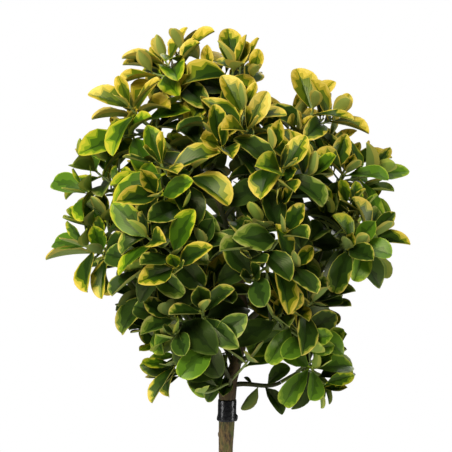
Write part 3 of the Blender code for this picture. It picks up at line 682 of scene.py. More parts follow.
def grow_boughs(masses):
    """The masses with their roots, and each bough's smooth line and radii by its node's name."""
    trunk_top = TRUNK[-1][0] - FORK_GAP / 2
    count = int((trunk_top - FIRST_FORK_HEIGHT) / FORK_STATION)
    stations = [trunk_at(FIRST_FORK_HEIGHT + FORK_STATION * i) for i in range(count)]
    limbs = [Limb("trunk", *zip(*stations))]
    rooted = {mass.name: mass for mass in masses if mass.on_trunk}
    stems = []
    for mass in rooted.values():
        stems.append(Limb(mass.name, *fine_line(stem_of(mass)[:2], SOLID_STEM_RADII, SOLID_STEM_STEPS)))
    forks = [stem.points for stem in stems]
    boughs = {}
    others = [mass for mass in masses if not mass.on_trunk]
    for mass in sorted(others, key=lambda mass: (BOUGH_ORDER.index(mass.tier), mass.name)):
        best = best_bough(mass, limbs, limbs + stems, forks)
        if best is None:
            raise ValueError(f"no clear way to {mass.name}")
        _, limb, index, points, radii = best
        forks.append(points)
        name = f"bough_{mass.name}"
        limbs.append(Limb(name, *fine_line(points, radii)))
        smooth = bough_from(limb, index, mass, BOUGH_FINE_STEPS)
        boughs[name] = (smooth, evenly(radii[0], radii[-1], BOUGH_FINE_STEPS))
        rooted[mass.name] = mass._replace(root=points[-1])
    return [rooted[mass.name] for mass in masses], boughs


def stem_of(mass):
    """The line of a mass's own stem, from its bough's tip to its middle."""
    way = (mass.centre - mass.root).normalized()
    start = mass.root + way * (0 if mass.on_trunk else SEAT_GAP)
    return [start, start.lerp(mass.centre, STEM_BEND_AT), mass.centre + UP * STEM_TOP]


def by_height(height, low, high):
    """A value that goes from low at the skirt to high in the upper head."""
    share = (height - LOW_AIM_HEIGHT) / (HIGH_AIM_HEIGHT - LOW_AIM_HEIGHT)
    return low + (high - low) * clamp(share)


def outward_at(mass):
    """The way out of the head at a mass."""
    return (mass.centre - Vector((CROWN_AXIS_X, 0.0, mass.centre.z - OUTWARD_RISE))).normalized()


def shoots_of(mass):
    """Shoots that leave the stem in a golden-angle spiral about the way out and up.

    They aim up in the upper head and hang a little at the skirt.
    """
    chance = random.Random(mass.name)
    stem = stem_of(mass)
    outward = outward_at(mass)
    aim = (outward + UP * by_height(mass.centre.z, *AIM_RISES)).normalized()
    side = across(aim)
    other = aim.cross(side)
    phase = chance.uniform(0, FULL_TURN)
    share = TUFT_SHARE if mass.tier == "tuft" else 1.0
    radii = evenly(SHOOT_RADIUS, SHOOT_RADIUS * (1 - SHOOT_TAPER), SHOOT_STEPS)
    shoots = []
    for number in range(SHOOTS):
        lean = SHOOT_SPREAD * math.sqrt((number + LEAN_FROM) / SHOOTS) * chance.uniform(*LEAN_PLAY) * share
        turn = phase + number * GOLDEN_TURN + chance.uniform(-TURN_PLAY, TURN_PLAY)
        way = aim * math.cos(lean) + (side * math.cos(turn) + other * math.sin(turn)) * math.sin(lean)
        reach = SHOOT_REACH * chance.uniform(*REACH_PLAY) * share
        if (mass.name, str(number)) == FRONT_SHOOT:
            way, reach = Vector(FRONT_SHOOT_WAY).normalized(), FRONT_SHOOT_REACH
        start = stem[0].lerp(stem[-1], SHOOT_FROM - SHOOT_FROM_FALL * lean / SHOOT_SPREAD)
        tip = mass.centre + way * reach
        rise = (way + UP * SHOOT_TIP_RISE).normalized()
        leaving = (way + (stem[-1] - stem[0]).normalized() * SHOOT_FOLLOWS).normalized()
        first, second = (pull * (tip - start).length for pull in SHOOT_PULLS)
        line = bezier(start, start + leaving * first, tip - rise * second, tip, SHOOT_STEPS)
        shoots.append(Shoot(mass, str(number), line, radii, outward, 1.0))
    return shoots


def side_twig_of(shoot):
    """The rule carried on: a shorter twig that leaves a shoot halfway and turns up again."""
    number = f"{shoot.number}{SIDE_TWIG_MARK}"
    chance = random.Random(f"{shoot.mass.name}-{shoot.number}-twig-0")
    halfway = SHOOT_STEPS // 2
    start, way = shoot.points[halfway], directions(shoot.points)[halfway]
    side = across(way)
    turn = int(shoot.number) * 2 * GOLDEN_TURN + chance.uniform(-SIDE_TWIG_TURN_PLAY, SIDE_TWIG_TURN_PLAY)
    out = side * math.cos(turn) + way.cross(side) * math.sin(turn)
    lean = SIDE_TWIG_LEAN * chance.uniform(*SIDE_TWIG_LEAN_PLAY)
    aim = (way * math.cos(lean) + out * math.sin(lean) + shoot.outward * SIDE_TWIG_OUT).normalized()
    length = SIDE_TWIG_LENGTH * chance.uniform(*SIDE_TWIG_LENGTH_PLAY)
    tip = start + (aim + UP * SIDE_TWIG_RISE).normalized() * length
    rise = (aim + UP * SIDE_TWIG_TIP_RISE).normalized()
    first, second = SIDE_TWIG_PULLS
    leaving, arriving = start + aim * length * first, tip - rise * length * second
    line = bezier(start, leaving, arriving, tip, SIDE_TWIG_STEPS)
    radii = evenly(SIDE_TWIG_RADIUS, SIDE_TWIG_RADIUS * (1 - SHOOT_TAPER), SIDE_TWIG_STEPS)
    return Shoot(shoot.mass, number, line, radii, shoot.outward, SIDE_TWIG_VIGOUR)


def point_back(points, distance):
    """The point this far back from a line's tip, and the way the line runs there."""
    for a, b in zip(points[::-1], points[-2::-1]):
        step = (b - a).length
        if distance <= step:
            return a.lerp(b, distance / step), (a - b).normalized()
        distance -= step
    return None


def shade_of(place, depth, rank, spray, chance):
    """Gold at the top and tips, lime on the left, deep green below, and inside darker with painted shade."""
    if place.x < GOLD_LEFT_OF and place.z < GOLD_UNDER:
        return "gold"
    if place.x > FRESH_RIGHT_OF and place.y < FRESH_BEFORE and place.z < FRESH_UNDER:
        return "fresh"
    if chance.random() < FRESH_ON_RIM and (abs(place.x) > RIM_FROM or place.z < RIM_UNDER):
        return "fresh"
    spots = (math.hypot(place.x - x, place.z - z) < GOLD_SPOT_RADIUS for x, z in GOLD_SPOTS)
    if place.y < GOLD_SPOT_BEFORE and any(spots):
        return "gold"
    if rank < STRAY_RANKS and depth < 0 and chance.random() < STRAY_GOLD:
        return "gold"
    height = clamp((place.z - HEIGHT_FROM) / HEIGHT_OVER, 0.0, HEIGHT_MOST)
    left = clamp((-LEFT_FROM - place.x) / LEFT_OVER)
    # Painted shade: leaves deep in their mass and in the head's hollow lose gold and darken.
    deep = clamp((depth - DEPTH_FROM) / DEPTH_OVER)
    hollow = max(0.0, 1 - math.hypot(place.x - CROWN_AXIS_X, place.y) / HOLLOW_RADIUS)
    hollow *= clamp((HOLLOW_TOP - place.z) / HOLLOW_FADE)
    gold = GOLD_LEAST + GOLD_BY_HEIGHT * height + GOLD_BY_RANK[rank] + GOLD_BY_HOLLOW * hollow + spray
    gold += chance.uniform(-GOLD_PLAY, GOLD_PLAY) + GOLD_BY_DEPTH * deep
    if gold > YELLOW_ABOVE:
        return "yellow"
    if gold > GOLD_ABOVE:
        return "lime" if chance.random() < LIME_IN_GOLD[0] + LIME_IN_GOLD[1] * left else "gold"
    if gold > EDGED_ABOVE:
        return "lime" if chance.random() < LIME_IN_EDGED[0] + LIME_IN_EDGED[1] * left else "edged"
    if gold < INNER_BELOW:
        return "inner"
    return "edged" if chance.random() < EDGED_IN_DEEP else "deep"


def leaf_held(shoot, rank, half, hold):
    """One leaf of a pair, held at this rank of a shoot in one of the ways of HOLDS.

    Each pair stands square to the next, and its two leaves on opposite sides.
    """
    found = point_back(shoot.points, RANKS[rank].back)
    if found is None:
        return None
    place, way = found
    turns_up = by_height(shoot.mass.centre.z, *TIP_TURNS_UP)
    way = way * TIP_FOLLOWS + UP * turns_up + shoot.outward * TIP_TURNS_OUT
    way = (way + LIGHT * TIP_TURNS_TO_LIGHT).normalized()
    seed = f"{shoot.mass.name}-{shoot.number}"
    chance = random.Random(f"{seed}-{rank}-{half}")
    turned, splayed, shortened = hold
    side = across(way)
    other = way.cross(side)
    turned += chance.uniform(-LEAF_TURN_PLAY, LEAF_TURN_PLAY)
    turn = math.radians(random.Random(seed).uniform(0, 360) + rank * 90 + half * 180 + turned)
    splay = math.radians(RANKS[rank].splay + chance.uniform(-SPLAY_PLAY, SPLAY_PLAY) + splayed)
    out = side * math.cos(turn) + other * math.sin(turn)
    droop = LEAF_DROOP * clamp((DROOP_BELOW - place.z) / DROOP_OVER) * (place.x < DROOP_LEFT_OF)
    along = (way * math.cos(splay) + out * math.sin(splay) + UP * (LEAF_LIFT - droop)).normalized()
    away = (place - shoot.mass.centre).normalized()
    along = (along - away * max(along.dot(away), 0.0) * LIES_FLAT[rank]).normalized()
    facing = way * FACES_ALONG + away * FACES_AWAY + shoot.outward * FACES_OUT + UP * FACES_UP
    facing += LIGHT * FACES_LIGHT
    normal = square_to(along, facing)
    normal = Matrix.Rotation(chance.uniform(-LEAF_ROLL, LEAF_ROLL), 3, along) @ normal
    length = LEAF_LENGTH * RANKS[rank].length * chance.uniform(*LENGTH_PLAY) * shortened * shoot.vigour
    spray = random.Random(f"{seed}-spray").uniform(-SPRAY_PLAY, SPRAY_PLAY)
    # A leaf's depth in its mass darkens its shade, partly as painted shade.
    depth = (shoot.mass.centre - place).dot(shoot.outward)
    shade = shade_of(place + along * length * SHADE_AT, depth, rank, spray, chance)
    form = form_of(chance.choice(HEARTS_OF[shade]), rank)
    return Leaf(place, along, normal, length, form, list(SHADES).index(shade))


def lone_leaf(lone, boughs):
    """A leaf that stands on a bough by itself."""
    along = Vector(lone.way).normalized()
    normal = square_to(along, Vector(lone.face))
    form = form_of(HEARTS_OF[lone.shade][0], lone.rank)
    place = boughs[f"bough_{lone.mass}"][0][lone.point]
    return Leaf(place, along, normal, lone.length, form, list(SHADES).index(lone.shade))


def square_to(along, facing):
    """The way nearest to the one faced that is square to a leaf's length."""
    return (facing - along * facing.dot(along)).normalized()


def form_of(heart, rank):
    """The number of the blade with this heart and the curl of this rank."""
    return heart * len(CURLS) + CURL_OF_RANK[rank]


def make_forms():
    """The blades there are: each width of heart in each of the curls."""
    chance = random.Random("blade forms")
    forms = []
    for number in range(HEARTS):
        for curls in CURLS:
            forms.append(
                Form(
                    wide=chance.uniform(*WIDE),
                    tip=chance.uniform(*TIP_POWER),
                    fold=chance.uniform(*FOLD),
                    curl=chance.uniform(*curls),
                    wave=WAVE * chance.uniform(*WAVE_PLAY),
                    phase=chance.uniform(0, FULL_TURN),
                    bend=chance.uniform(-BEND, BEND),
                    heart=1.0 - number / (HEARTS - 1),
                    chance=random.Random(f"blade {len(forms)}"),
                )
            )
    return forms


def past_petiole(share):
    """A share of the whole leaf's length as a share of its blade."""
    return clamp((share - PETIOLE) / (1 - PETIOLE))


def half_width(share, form):
    """Half the width of a blade of length 1 at a share of its length."""
    s = past_petiole(share)
    peak_at = BASE_POWER / (BASE_POWER + form.tip)
    peak = peak_at**BASE_POWER * (1 - peak_at) ** form.tip
    outline = form.wide / 2 * s**BASE_POWER * (1 - s) ** form.tip / peak
    return max(outline, PETIOLE_HALF * (1 - PETIOLE_TAPER * s))


def midline(form, share):
    """Where the blade's middle runs, bending more towards the tip, and its slope there."""
    y = z = 0.0
    for i in range(CURL_STEPS):
        slope = form.curl * (share * (i + 0.5) / CURL_STEPS) ** CURL_POWER
        y += math.cos(slope) * share / CURL_STEPS
        z -= math.sin(slope) * share / CURL_STEPS
    return y, z, form.curl * share**CURL_POWER


def blade_point(form, share, place, sink=0.0, toothed=0.0):
    """A point of a blade by its share of the length and its place from edge to edge, -1 to 1."""
    s = past_petiole(share)
    slant = VEIN_SLANT * 4 * s * (1 - s)
    half = half_width(share + slant, form) * (1 + toothed)
    y, z, slope = midline(form, share)
    side = abs(place)
    forward = slant * side
    lift = form.fold * half * side * (FOLD_INSIDE + FOLD_TO_EDGE * side) - sink
    turn = FULL_TURN * WAVES * (share + forward) + form.phase + (WAVE_OUT_OF_STEP if place > 0 else 0)
    lift += form.wave * math.sin(turn) * side**2 * min(s * WAVE_STARTS, 1, (1 - s) * WAVE_ENDS)
    return Vector(
        (
            half * place + form.bend * share**2,
            y + forward * math.cos(slope) + lift * math.sin(slope),
            z - forward * math.sin(slope) + lift * math.cos(slope),
        )
    )


def row_shares():
    """Shares of the length where rows of the blade lie: the petiole's ends, then crowding to the tip."""
    blade = [1 - (1 - i / (ROWS - 1)) ** TIP_CROWDING for i in range(ROWS)]
    return [0.0] + [PETIOLE + (1 - PETIOLE) * s for s in blade]


def heart_places(form, row, share):
    """How far the core, the heart, the green round it and the pale part reach on each side of a row.

    The heart is a flame: as wide as the blade at its base and pointed short of its tip, with
    lobes along the side veins.
    """
    s = past_petiole(share) / (HEART_END[0] + HEART_END[1] * form.heart)
    wide = HEART_WIDE[0] + HEART_WIDE[1] * form.heart
    flame = wide * (1 + HEART_BASE * (1 - s)) * math.sqrt(max(0.0, 1 - s**HEART_POINT))
    places = []
    for _ in range(2):
        jag = (LOBE if row % 2 else -LOBE) + form.chance.uniform(-LOBE_PLAY, LOBE_PLAY)
        heart = clamp(flame * (1 + jag * (LOBE_SCALE - form.heart)), *HEART_LIMITS)
        # The core: the heart's darker middle, with painted shade widening it at the base.
        core = heart * clamp(CORE_SHARE - jag - CORE_FALL * s, *CORE_LIMITS)
        zone = heart + (1 - heart) * clamp(ZONE_SHARE[0] + ZONE_SHARE[1] * form.heart + jag, *ZONE_LIMITS)
        pale = zone + (1 - zone) * form.chance.uniform(*PALE_SHARE)
        places.append((core, heart, zone, pale))
    return places


def blade_mesh(form, name):
    """A thin closed blade: ten strips above and four below, with its tones on its faces."""
    shares = row_shares()
    points, places, faces, tones = [], [], [], []
    for row, share in enumerate(shares):
        left, right = heart_places(form, row, share)
        tops = (-1.0, *(-place for place in reversed(left)), 0.0, *right, 1.0)
        toothed = CRENATION * (1 if row % 2 else -1) if 1 < row < len(shares) - 1 else 0.0
        sinks = (0.0,) * len(tops) + UNDER_SINKS
        for place, sink in zip(tops + UNDER_PLACES, sinks):
            points.append(blade_point(form, share, place, sink, toothed))
            places += (place, share, 0)
    last_top = len(TOP_TONES)
    width = last_top + len(UNDER_TONES)
    under = [0] + list(range(last_top + 1, width)) + [last_top]
    for row in range(len(shares) - 1):
        low, high = row * width, (row + 1) * width
        for k, tone in enumerate(TOP_TONES):
            faces.append((low + k, low + k + 1, high + k + 1, high + k))
            tones.append(tone if row else PALE)
        for a, b, tone in zip(under, under[1:], UNDER_TONES):
            faces.append((low + b, low + a, high + a, high + b))
            tones.append(tone)
    ring = list(range(last_top + 1)) + under[-2:0:-1]
    end = (len(shares) - 1) * width
    faces += [tuple(reversed(ring)), tuple(end + i for i in ring)]
    tones += [HEART, MARGIN]
    mesh = bpy.data.meshes.new(name)
    mesh.from_pydata([tuple(p) for p in points], [], faces)
    mesh.shade_smooth()
    creased = (0, last_top // 2, last_top)
    ends = [[vertex % width for vertex in edge.vertices] for edge in mesh.edges]
    mark(mesh, "sharp_edge", "BOOLEAN", "EDGE", [a == b and a in creased for a, b in ends])
    mark(mesh, "tone", "INT", "FACE", tones)
    mark(mesh, "blade", "FLOAT_VECTOR", "POINT", places)
    return mesh


def coarse_blade(form):
    """The same blade in a few points, for finding what it would touch."""
    points = [blade_point(form, share, place) for share in COARSE_SHARES for place in COARSE_PLACES]
    wide = len(COARSE_PLACES)
    corners = [r * wide + k for r in range(len(COARSE_SHARES) - 1) for k in range(wide - 1)]
    return points, [(c, c + 1, c + wide + 1, c + wide) for c in corners]


def leaf_frame(leaf):
    """The turn that lays a blade's width, length and face along the leaf's own."""
    side = leaf.along.cross(leaf.normal)
    return Matrix((side, leaf.along, leaf.normal)).transposed()


def leaf_shape(leaf, coarse):
    points, faces = coarse[leaf.form]
    turn = leaf_frame(leaf)
    return [leaf.origin + turn @ (p * leaf.length) for p in points], faces


class Room:
    """What has been grown so far, and whether a new shape is clear of it."""

    def __init__(self):
        self.cells = {}
        self.shapes = []

    def cells_of(self, points):
        low = [math.floor(min(p[i] for p in points) / CELL) for i in range(3)]
        high = [math.floor(max(p[i] for p in points) / CELL) for i in range(3)]
        for x in range(low[0], high[0] + 1):
            for y in range(low[1], high[1] + 1):
                for z in range(low[2], high[2] + 1):
                    yield x, y, z

    def is_clear(self, shape, apart_from=()):
        tree = BVHTree.FromPolygons(*shape)
        near = {n for cell in self.cells_of(shape[0]) for n in self.cells.get(cell, ())}
        for number in near:
            owner, other = self.shapes[number]
            if owner not in apart_from and tree.overlap(other):
                return False
        return True

    def take(self, shape, owner):
        number = len(self.shapes)
        self.shapes.append((owner, BVHTree.FromPolygons(*shape)))
        for cell in self.cells_of(shape[0]):
            self.cells.setdefault(cell, []).append(number)


def height_on(profile, x):
    """The height of a profile, given as places and heights from left to right."""
    for (left, low), (right, high) in zip(profile, profile[1:]):
        if left < x <= right:
            return low + (high - low) * (x - left) / (right - left)
    return profile[0][1] if x < profile[0][0] else profile[-1][1]


def keeps_to(mass, points, lower=0.0):
    """True if points stay in a mass's own space, above the head's underside and out of its gap."""
    outward = outward_at(mass)
    for point in points:
        away = point - mass.centre
        out = away.dot(outward)
        sideways = math.sqrt(max(away.length_squared - out * out, 0.0))
        if math.hypot(out, sideways * SIDE_SQUEEZE) > MASS_RADIUS * SPILL:
            return False
        if not height_on(LOWEST, point.x) - lower < point.z < height_on(NOTCH, point.x):
            return False
    return True


def grow_foliage(masses, boughs, forms):
    """The twigs and leaves of each mass, dealt out in turn so that each gets its share of room."""
    coarse = [coarse_blade(form) for form in forms]
    room = Room()
    guard = [trunk_at(height) for height, *_ in TRUNK if height > LEAFY_FROM]
    room.take(tube(*zip(*guard), TRUNK_GUARD_SIDES), "limb")
    for points, radii in boughs.values():
        room.take(tube(points[::BOUGH_GUARD_STRIDE], radii[::BOUGH_GUARD_STRIDE], BOUGH_GUARD_SIDES), "limb")
    grown = []
    for same_number in zip(*map(shoots_of, masses)):
        for shoot in same_number:
            grow_twig(shoot, room, grown)
    for shoot in list(grown):
        if shoot.number != "0":
            grow_twig(side_twig_of(shoot), room, grown)
    grown.sort(key=lambda shoot: not is_front(shoot))
    twigs = {mass.name: [] for mass in masses}
    leaves = {mass.name: [] for mass in masses}
    for lone in LONE_LEAVES:
        leaf = lone_leaf(lone, boughs)
        room.take(leaf_shape(leaf, coarse), f"{lone.mass}-leaf")
        leaves[lone.mass].append(leaf)
    for shoot in grown:
        grow_rosette(shoot, room, coarse, twigs[shoot.mass.name], leaves[shoot.mass.name])
    return twigs, leaves


def grow_twig(shoot, room, grown):
    """Adds a shoot or twig if it keeps to its mass and runs clear of other limbs and masses."""
    family = [shoot.mass.name]
    shape = tube(shoot.points, shoot.radii, SHOOT_SIDES)
    if keeps_to(shoot.mass, shoot.points[1:], TWIGS_HANG_LOWER) and room.is_clear(shape, family):
        room.take(shape, shoot.mass.name)
        grown.append(shoot)


def grow_rosette(shoot, room, coarse, twigs, leaves):
    """Adds a twig with its leaves to its mass, unless too few find room or its shoot has gone."""
    aside = shoot.number.endswith(SIDE_TWIG_MARK)
    if aside and shoot.number.removesuffix(SIDE_TWIG_MARK) not in [twig.number for twig in twigs]:
        return
    before = len(leaves)
    for rank in range(SIDE_TWIG_RANKS if aside else len(RANKS)):
        for half in (0, 1):
            grow_leaf(shoot, rank, half, room, leaves, coarse)
    if len(leaves) - before < LEAST_LEAVES:
        del leaves[before:]
    else:
        twigs.append(shoot)


def grow_leaf(shoot, rank, half, room, leaves, coarse):
    """Adds one leaf where one of its holds is clear."""
    for hold in HOLDS:
        leaf = leaf_held(shoot, rank, half, hold)
        if leaf is None:
            return
        shape = leaf_shape(leaf, coarse)
        seen = is_front(shoot) or not hides_front(shape[0])
        if seen and keeps_to(shoot.mass, shape[0]) and room.is_clear(shape):
            room.take(shape, f"{shoot.mass.name}-leaf")
            leaves.append(leaf)
            return


def is_front(shoot):
    return (shoot.mass.name, shoot.number) == FRONT_SHOOT


def hides_front(points):
    """Whether a leaf with these points would hang before the front rosette."""
    offsets = [point - FRONT_MIDDLE for point in points]
    return any(offset.y < 0 and math.hypot(offset.x, offset.z) < FRONT_CLEAR for offset in offsets)


def lines_of(mass, shoots):
    """A mass's shoots and its stem, unless the stem counts among the boughs."""
    stem = [] if mass.on_trunk else [(stem_of(mass), STEM_RADII)]
    return stem + [(shoot.points, shoot.radii) for shoot in shoots]


def group(name, inputs):
    """A node group with a geometry input and output and these named inputs, and what it is given."""
    tree = bpy.data.node_groups.new(name, "GeometryNodeTree")
    tree.interface.new_socket("Geometry", in_out="INPUT", socket_type="NodeSocketGeometry")
    tree.interface.new_socket("Geometry", in_out="OUTPUT", socket_type="NodeSocketGeometry")
    for label, kind in inputs:
        tree.interface.new_socket(label, in_out="INPUT", socket_type=kind)
    return tree, tree.nodes.new("NodeGroupInput").outputs


def twig_tree():
    """Tapering limbs: each line of the mesh is swept by a circle as thick as the line says."""
    tree, given = group("tapering_limbs", [("Sides", "NodeSocketInt"), ("Bark", "NodeSocketMaterial")])
    thickness = add(tree, "GeometryNodeInputNamedAttribute", {"data_type": "FLOAT"}, Name="thickness")
    line = add(tree, "GeometryNodeMeshToCurve", Mesh=given["Geometry"])
    circle = add(tree, "GeometryNodeCurvePrimitiveCircle", Resolution=given["Sides"], Radius=1.0)
    sweep = add(
        tree,
        "GeometryNodeCurveToMesh",
        Curve=line.outputs[0],
        Profile_Curve=circle.outputs[0],
        Scale=thickness.outputs[0],
        Fill_Caps=True,
    )
    smooth = add(tree, "GeometryNodeSetShadeSmooth", Geometry=sweep.outputs[0])
    whole = add(tree, "GeometryNodeRealizeInstances", Geometry=smooth.outputs[0])
    finish = add(tree, "GeometryNodeSetMaterial", Geometry=whole.outputs[0], Material=given["Bark"])
    add(tree, "NodeGroupOutput", Geometry=finish.outputs[0])
    return tree


def spray_tree(finishes):
    """A blade at each point, picked, turned and sized by it, with a colour for each tone of its shade."""
    tree, given = group("leaf_sprays", [("Blades", "NodeSocketCollection")])
    kinds = {"turn": "FLOAT_VECTOR", "size": "FLOAT", "form": "INT", "shade": "INT", "tone": "INT"}
    says = {
        name: add(tree, "GeometryNodeInputNamedAttribute", {"data_type": kind}, Name=name).outputs[0]
        for name, kind in kinds.items()
    }
    shelf = add(tree, "GeometryNodeCollectionInfo", Collection=given["Blades"], Separate_Children=True)
    shelf.inputs["Reset Children"].default_value = True
    turn = add(tree, "FunctionNodeEulerToRotation", Euler=says["turn"])
    placed = add(
        tree,
        "GeometryNodeInstanceOnPoints",
        Points=given["Geometry"],
        Instance=shelf.outputs[0],
        Pick_Instance=True,
        Instance_Index=says["form"],
        Rotation=turn.outputs[0],
        Scale=says["size"],
    )
    last = add(tree, "GeometryNodeRealizeInstances", Geometry=placed.outputs[0])
    shade = add(tree, "ShaderNodeMath", {"operation": "MULTIPLY"}, i0=says["shade"], i1=TONES)
    finish = add(tree, "ShaderNodeMath", {"operation": "ADD"}, i0=shade.outputs[0], i1=says["tone"])
    equal = {"data_type": "FLOAT", "operation": "EQUAL"}
    for number, material in enumerate(finishes):
        chosen = add(tree, "FunctionNodeCompare", equal, A=finish.outputs[0], B=number, Epsilon=0.1)
        last = add(tree, "GeometryNodeSetMaterial", Geometry=last.outputs[0], Selection=chosen.outputs[0])
        last.inputs["Material"].default_value = material
    add(tree, "NodeGroupOutput", Geometry=last.outputs[0])
    return tree


def through(obj, tree, **inputs):
    """Runs an object through a tree once and keeps the result as its plain mesh."""
    modifier = obj.modifiers.new(tree.name, "NODES")
    modifier.node_group = tree
    sockets = {s.name: s.identifier for s in tree.interface.items_tree if s.in_out == "INPUT"}
    for name, value in inputs.items():
        modifier[sockets[name]] = value
    graph = bpy.context.evaluated_depsgraph_get()
    made = bpy.data.meshes.new_from_object(obj.evaluated_get(graph), depsgraph=graph)
    obj.modifiers.remove(modifier)
    obj.data = made
    made.name = obj.name
    return obj


def limb_lines(name, limbs):
    """An object of bare lines, each point with its thickness."""
    points, edges, thick = [], [], []
    for line, radii in limbs:
        first = len(points)
        points += line
        thick += radii
        edges += [(first + i, first + i + 1) for i in range(len(line) - 1)]
    obj = new_object(name, points, edges=edges)
    mark(obj.data, "thickness", "FLOAT", "POINT", thick)
    return obj


def leaf_points(name, leaves):
    """An object of points, one for each leaf, that say how it is held and coloured."""
    obj = new_object(name, [leaf.origin for leaf in leaves])
    turns = [value for leaf in leaves for value in leaf_frame(leaf).to_euler()]
    mark(obj.data, "turn", "FLOAT_VECTOR", "POINT", turns)
    mark(obj.data, "size", "FLOAT", "POINT", [leaf.length for leaf in leaves])
    mark(obj.data, "form", "INT", "POINT", [leaf.form for leaf in leaves])
    mark(obj.data, "shade", "INT", "POINT", [leaf.shade for leaf in leaves])
    return obj


def blade_collection(forms):
    """The blades that sprays pick from, kept out of the scene itself."""
    shelf = bpy.data.collections.new("blades")
    for number, form in enumerate(forms):
        name = f"blade_{number:02d}"
        shelf.objects.link(bpy.data.objects.new(name, blade_mesh(form, name)))
    return shelf


def keep(piece, slot, *nodes):
    """Fixes a piece to the plant and hides the nodes that it stands for; its slot is not used."""
    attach(piece, "root")
    if nodes:
        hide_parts(*nodes)
    return piece


def bark_relief(height, turn, radius):
    """How far the bark stands out: upright fissures, a slow swell, and knobs where buds were."""
    place = Vector((math.cos(turn), math.sin(turn), height))
    out = FISSURE_DEPTH * noise.fractal(place * FISSURE_GRAIN, *FISSURE_FRACTAL)
    out += SWELL_SHARE * radius * noise.noise(place * SWELL_GRAIN)
    for at, side, size, wide in KNOBS:
        away = math.hypot(height - at, radius * (1 - math.cos(turn - side)) * 2)
        out += mound(away, size, wide)
    return out


def make_trunk(bark):
    """The stem from the ground into the head, ring by ring, with the flare of its roots."""
    top = TRUNK[-1][0]
    count = round(top / TRUNK_STEP)
    points = []
    for ring in range(count + 1):
        height = top * ring / count
        centre, radius = trunk_at(height)
        lobing = FLARE_DEPTH * math.exp(-height / FLARE_HEIGHT)
        for k in range(TRUNK_AROUND):
            turn = FULL_TURN * k / TRUNK_AROUND
            here = radius * (1 + lobing * math.cos(FLARE_LOBES * turn + FLARE_TURN))
            here += bark_relief(height, turn, radius)
            points.append(centre + Vector((math.cos(turn), math.sin(turn), 0)) * here)
    trunk = new_object("trunk_with_bark", points, ring_faces(count + 1, TRUNK_AROUND))
    trunk.data.materials.append(bark)
    trunk.data.shade_smooth()
    return keep(trunk, "bark", "trunk")


def make_tape(finish):
    """A stretched band wound up the graft: each turn overlaps the last and steps in at its edge."""
    lump_at, lump_side, lump_size, lump_wide = TAPE_LUMP
    points = []
    for ring in range(TAPE_RINGS + 1):
        share = ring / TAPE_RINGS
        height = TAPE_BOTTOM + (TAPE_TOP - TAPE_BOTTOM) * share
        centre, _ = trunk_at(height)
        thinned = mound(min(share, 1 - share), TAPE_END_THINNED, TAPE_END_SHARE)
        for k in range(TAPE_AROUND):
            turn = FULL_TURN * k / TAPE_AROUND
            way = Vector((math.cos(turn), math.sin(turn), 0))
            wound = (share * TAPE_TURNS + k / TAPE_AROUND) % 1
            wrinkle = TAPE_WRINKLE * noise.noise((way + UP * height) * TAPE_GRAIN)
            away = math.hypot(height - lump_at, TAPE_RADIUS * math.sin((turn - lump_side) / 2) * 2)
            here = TAPE_RADIUS - TAPE_TURN_STEP * wound + wrinkle - thinned
            points.append(centre + way * (here + mound(away, lump_size, lump_wide)))
    tape = new_object("graft_tape_wound", points, ring_faces(TAPE_RINGS + 1, TAPE_AROUND))
    with bpy.context.temp_override(active_object=tape, selected_editable_objects=[tape, make_knot()]):
        bpy.ops.object.join()
    tape.data.materials.append(finish)
    tape.data.shade_smooth()
    tape.data.set_sharp_from_angle(angle=TAPE_CREASE)
    return keep(tape, "graft_tape", "graft_tape")


def make_knot():
    """The lump where the tape's end is tucked in: a squashed ball with creases."""
    depth, width, tall = KNOT
    centre, _ = trunk_at(TAPE_BOTTOM + tall / 2)
    out = Vector((math.cos(KNOT_SIDE), math.sin(KNOT_SIDE), 0))
    side = UP.cross(out)
    middle = centre + out * (TAPE_RADIUS - KNOT_SINK)
    points = []
    for ring in range(KNOT_RINGS + 1):
        lift = math.pi * (KNOT_POLE + (1 - 2 * KNOT_POLE) * ring / KNOT_RINGS) - math.pi / 2
        for k in range(KNOT_AROUND):
            turn = FULL_TURN * k / KNOT_AROUND
            grain = Vector((turn * KNOT_GRAIN[0], lift * KNOT_GRAIN[1], KNOT_GRAIN[2]))
            crease = 1 + KNOT_CREASE * noise.noise(grain)
            flat = out * depth / KNOT_FLATTENED * math.cos(turn) + side * width / 2 * math.sin(turn)
            points.append(middle + (flat * math.cos(lift) + UP * tall / 2 * math.sin(lift)) * crease)
    return new_object("tape_knot", points, ring_faces(KNOT_RINGS + 1, KNOT_AROUND))


def make_boughs(boughs, masses, tree, bark):
    """All the boughs as one piece, a little uneven, with a swelling every so often where leaves were."""
    limbs = [fine_line(stem_of(mass), STEM_RADII) for mass in masses if mass.on_trunk]
    for name, (points, radii) in boughs.items():
        phase = random.Random(name).uniform(0, SCAR_STARTS)
        uneven = []
        for i, (point, radius) in enumerate(zip(points, radii)):
            scar = SCAR_SWELL * max(0.0, math.cos(i * SCAR_STEP + phase)) ** SCAR_SHARPNESS
            uneven.append(radius * (1 + scar + BOUGH_UNEVEN * noise.noise(point * BOUGH_GRAIN)))
        limbs.append((points, uneven))
    piece = through(limb_lines("boughs_with_bark", limbs), tree, Sides=BOUGH_SIDES, Bark=bark)
    return keep(piece, "young_bark", *boughs)


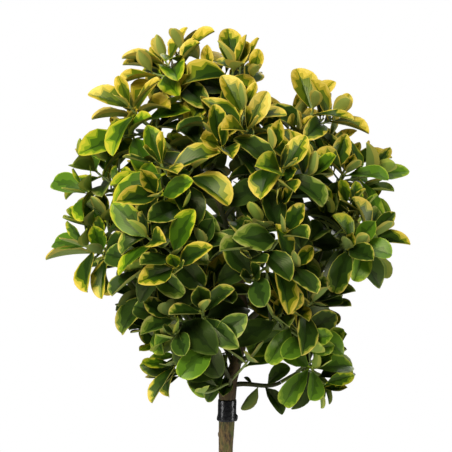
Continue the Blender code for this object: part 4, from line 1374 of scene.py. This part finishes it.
def make_stage():
    """A pale floor, soft light from the front left and above, and a white surround."""
    corners = [(x * FLOOR_HALF, y * FLOOR_HALF, 0) for x, y in ((-1, -1), (1, -1), (1, 1), (-1, 1))]
    floor = new_object("floor", corners, [(0, 1, 2, 3)])
    made, _, shader = new_material("pale_floor")
    shader.inputs["Base Color"].default_value = sRGB("#f2f2f0")
    shader.inputs["Roughness"].default_value = 0.9
    floor.data.materials.append(made)
    world = bpy.data.worlds.new("studio")
    world.use_nodes = True
    tree = world.node_tree
    tree.nodes.clear()
    path = add(tree, "ShaderNodeLightPath")
    seen = add(tree, "ShaderNodeBackground", Color=(1, 1, 1, 1), Strength=1.0)
    glow = add(tree, "ShaderNodeBackground", Color=(1.0, 1.0, 0.98, 1), Strength=SURROUND_GLOW)
    is_seen = path.outputs["Is Camera Ray"]
    mixed = add(tree, "ShaderNodeMixShader", Fac=is_seen, i1=glow.outputs[0], i2=seen.outputs[0])
    add(tree, "ShaderNodeOutputWorld", Surface=mixed.outputs[0])
    bpy.context.scene.world = world
    for lamp in LAMPS:
        data = bpy.data.lights.new(lamp.name, "AREA")
        data.size = lamp.size
        data.energy = lamp.power
        data.specular_factor = lamp.gloss
        stand(lamp.name, data, Vector(lamp.place), Vector(lamp.place) - CROWN_MIDDLE)


def stand(name, data, place, back):
    """Puts a lamp or the camera at a place, with its back turned this way."""
    obj = bpy.data.objects.new(name, data)
    obj.location = place
    obj.rotation_euler = back.to_track_quat("Z", "Y").to_euler()
    bpy.context.scene.collection.objects.link(obj)
    return obj


def make_camera():
    """Almost level, from the front, as wide at the plant as the photo's frame."""
    data = bpy.data.cameras.new("camera")
    data.sensor_width = SENSOR_WIDTH
    data.lens = data.sensor_width * VIEW_DISTANCE / VIEW_WIDTH
    back = Vector((0, -math.cos(VIEW_RISE), math.sin(VIEW_RISE)))
    bpy.context.scene.camera = stand("camera", data, VIEW_AIM + back * VIEW_DISTANCE, back)


def main():
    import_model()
    bark = bark_material("spindle_bark", dark="#261a0c", light="#705930", streaks="#4c5320", old="#3c2b15")
    young_bark = bark_material(
        "spindle_bough_bark", dark="#2b2a14", light="#5f5a32", streaks="#566429", old="#33391a"
    )
    green_twig, tape = twig_material(), tape_material()
    forms = make_forms()
    limbs, sprays = twig_tree(), spray_tree(leaf_finishes())
    masses, boughs = grow_boughs(all_masses())
    twigs, leaves = grow_foliage(masses, boughs, forms)
    make_trunk(bark)
    make_tape(tape)
    make_boughs(boughs, masses, limbs, young_bark)
    shelf = blade_collection(forms)
    for mass in masses:
        lines = limb_lines(f"twigs_{mass.name}", lines_of(mass, twigs[mass.name]))
        keep(through(lines, limbs, Sides=TWIG_SIDES, Bark=green_twig), "young_bark")
        points = leaf_points(f"leaves_{mass.name}", leaves[mass.name])
        slot = SLOT_OF_TIER.get(mass.tier, "foliage_gold")
        keep(through(points, sprays, Blades=shelf), slot, f"foliage_{mass.name}")
    make_stage()
    make_camera()
    bpy.context.scene.view_settings.view_transform = "Standard"


main()
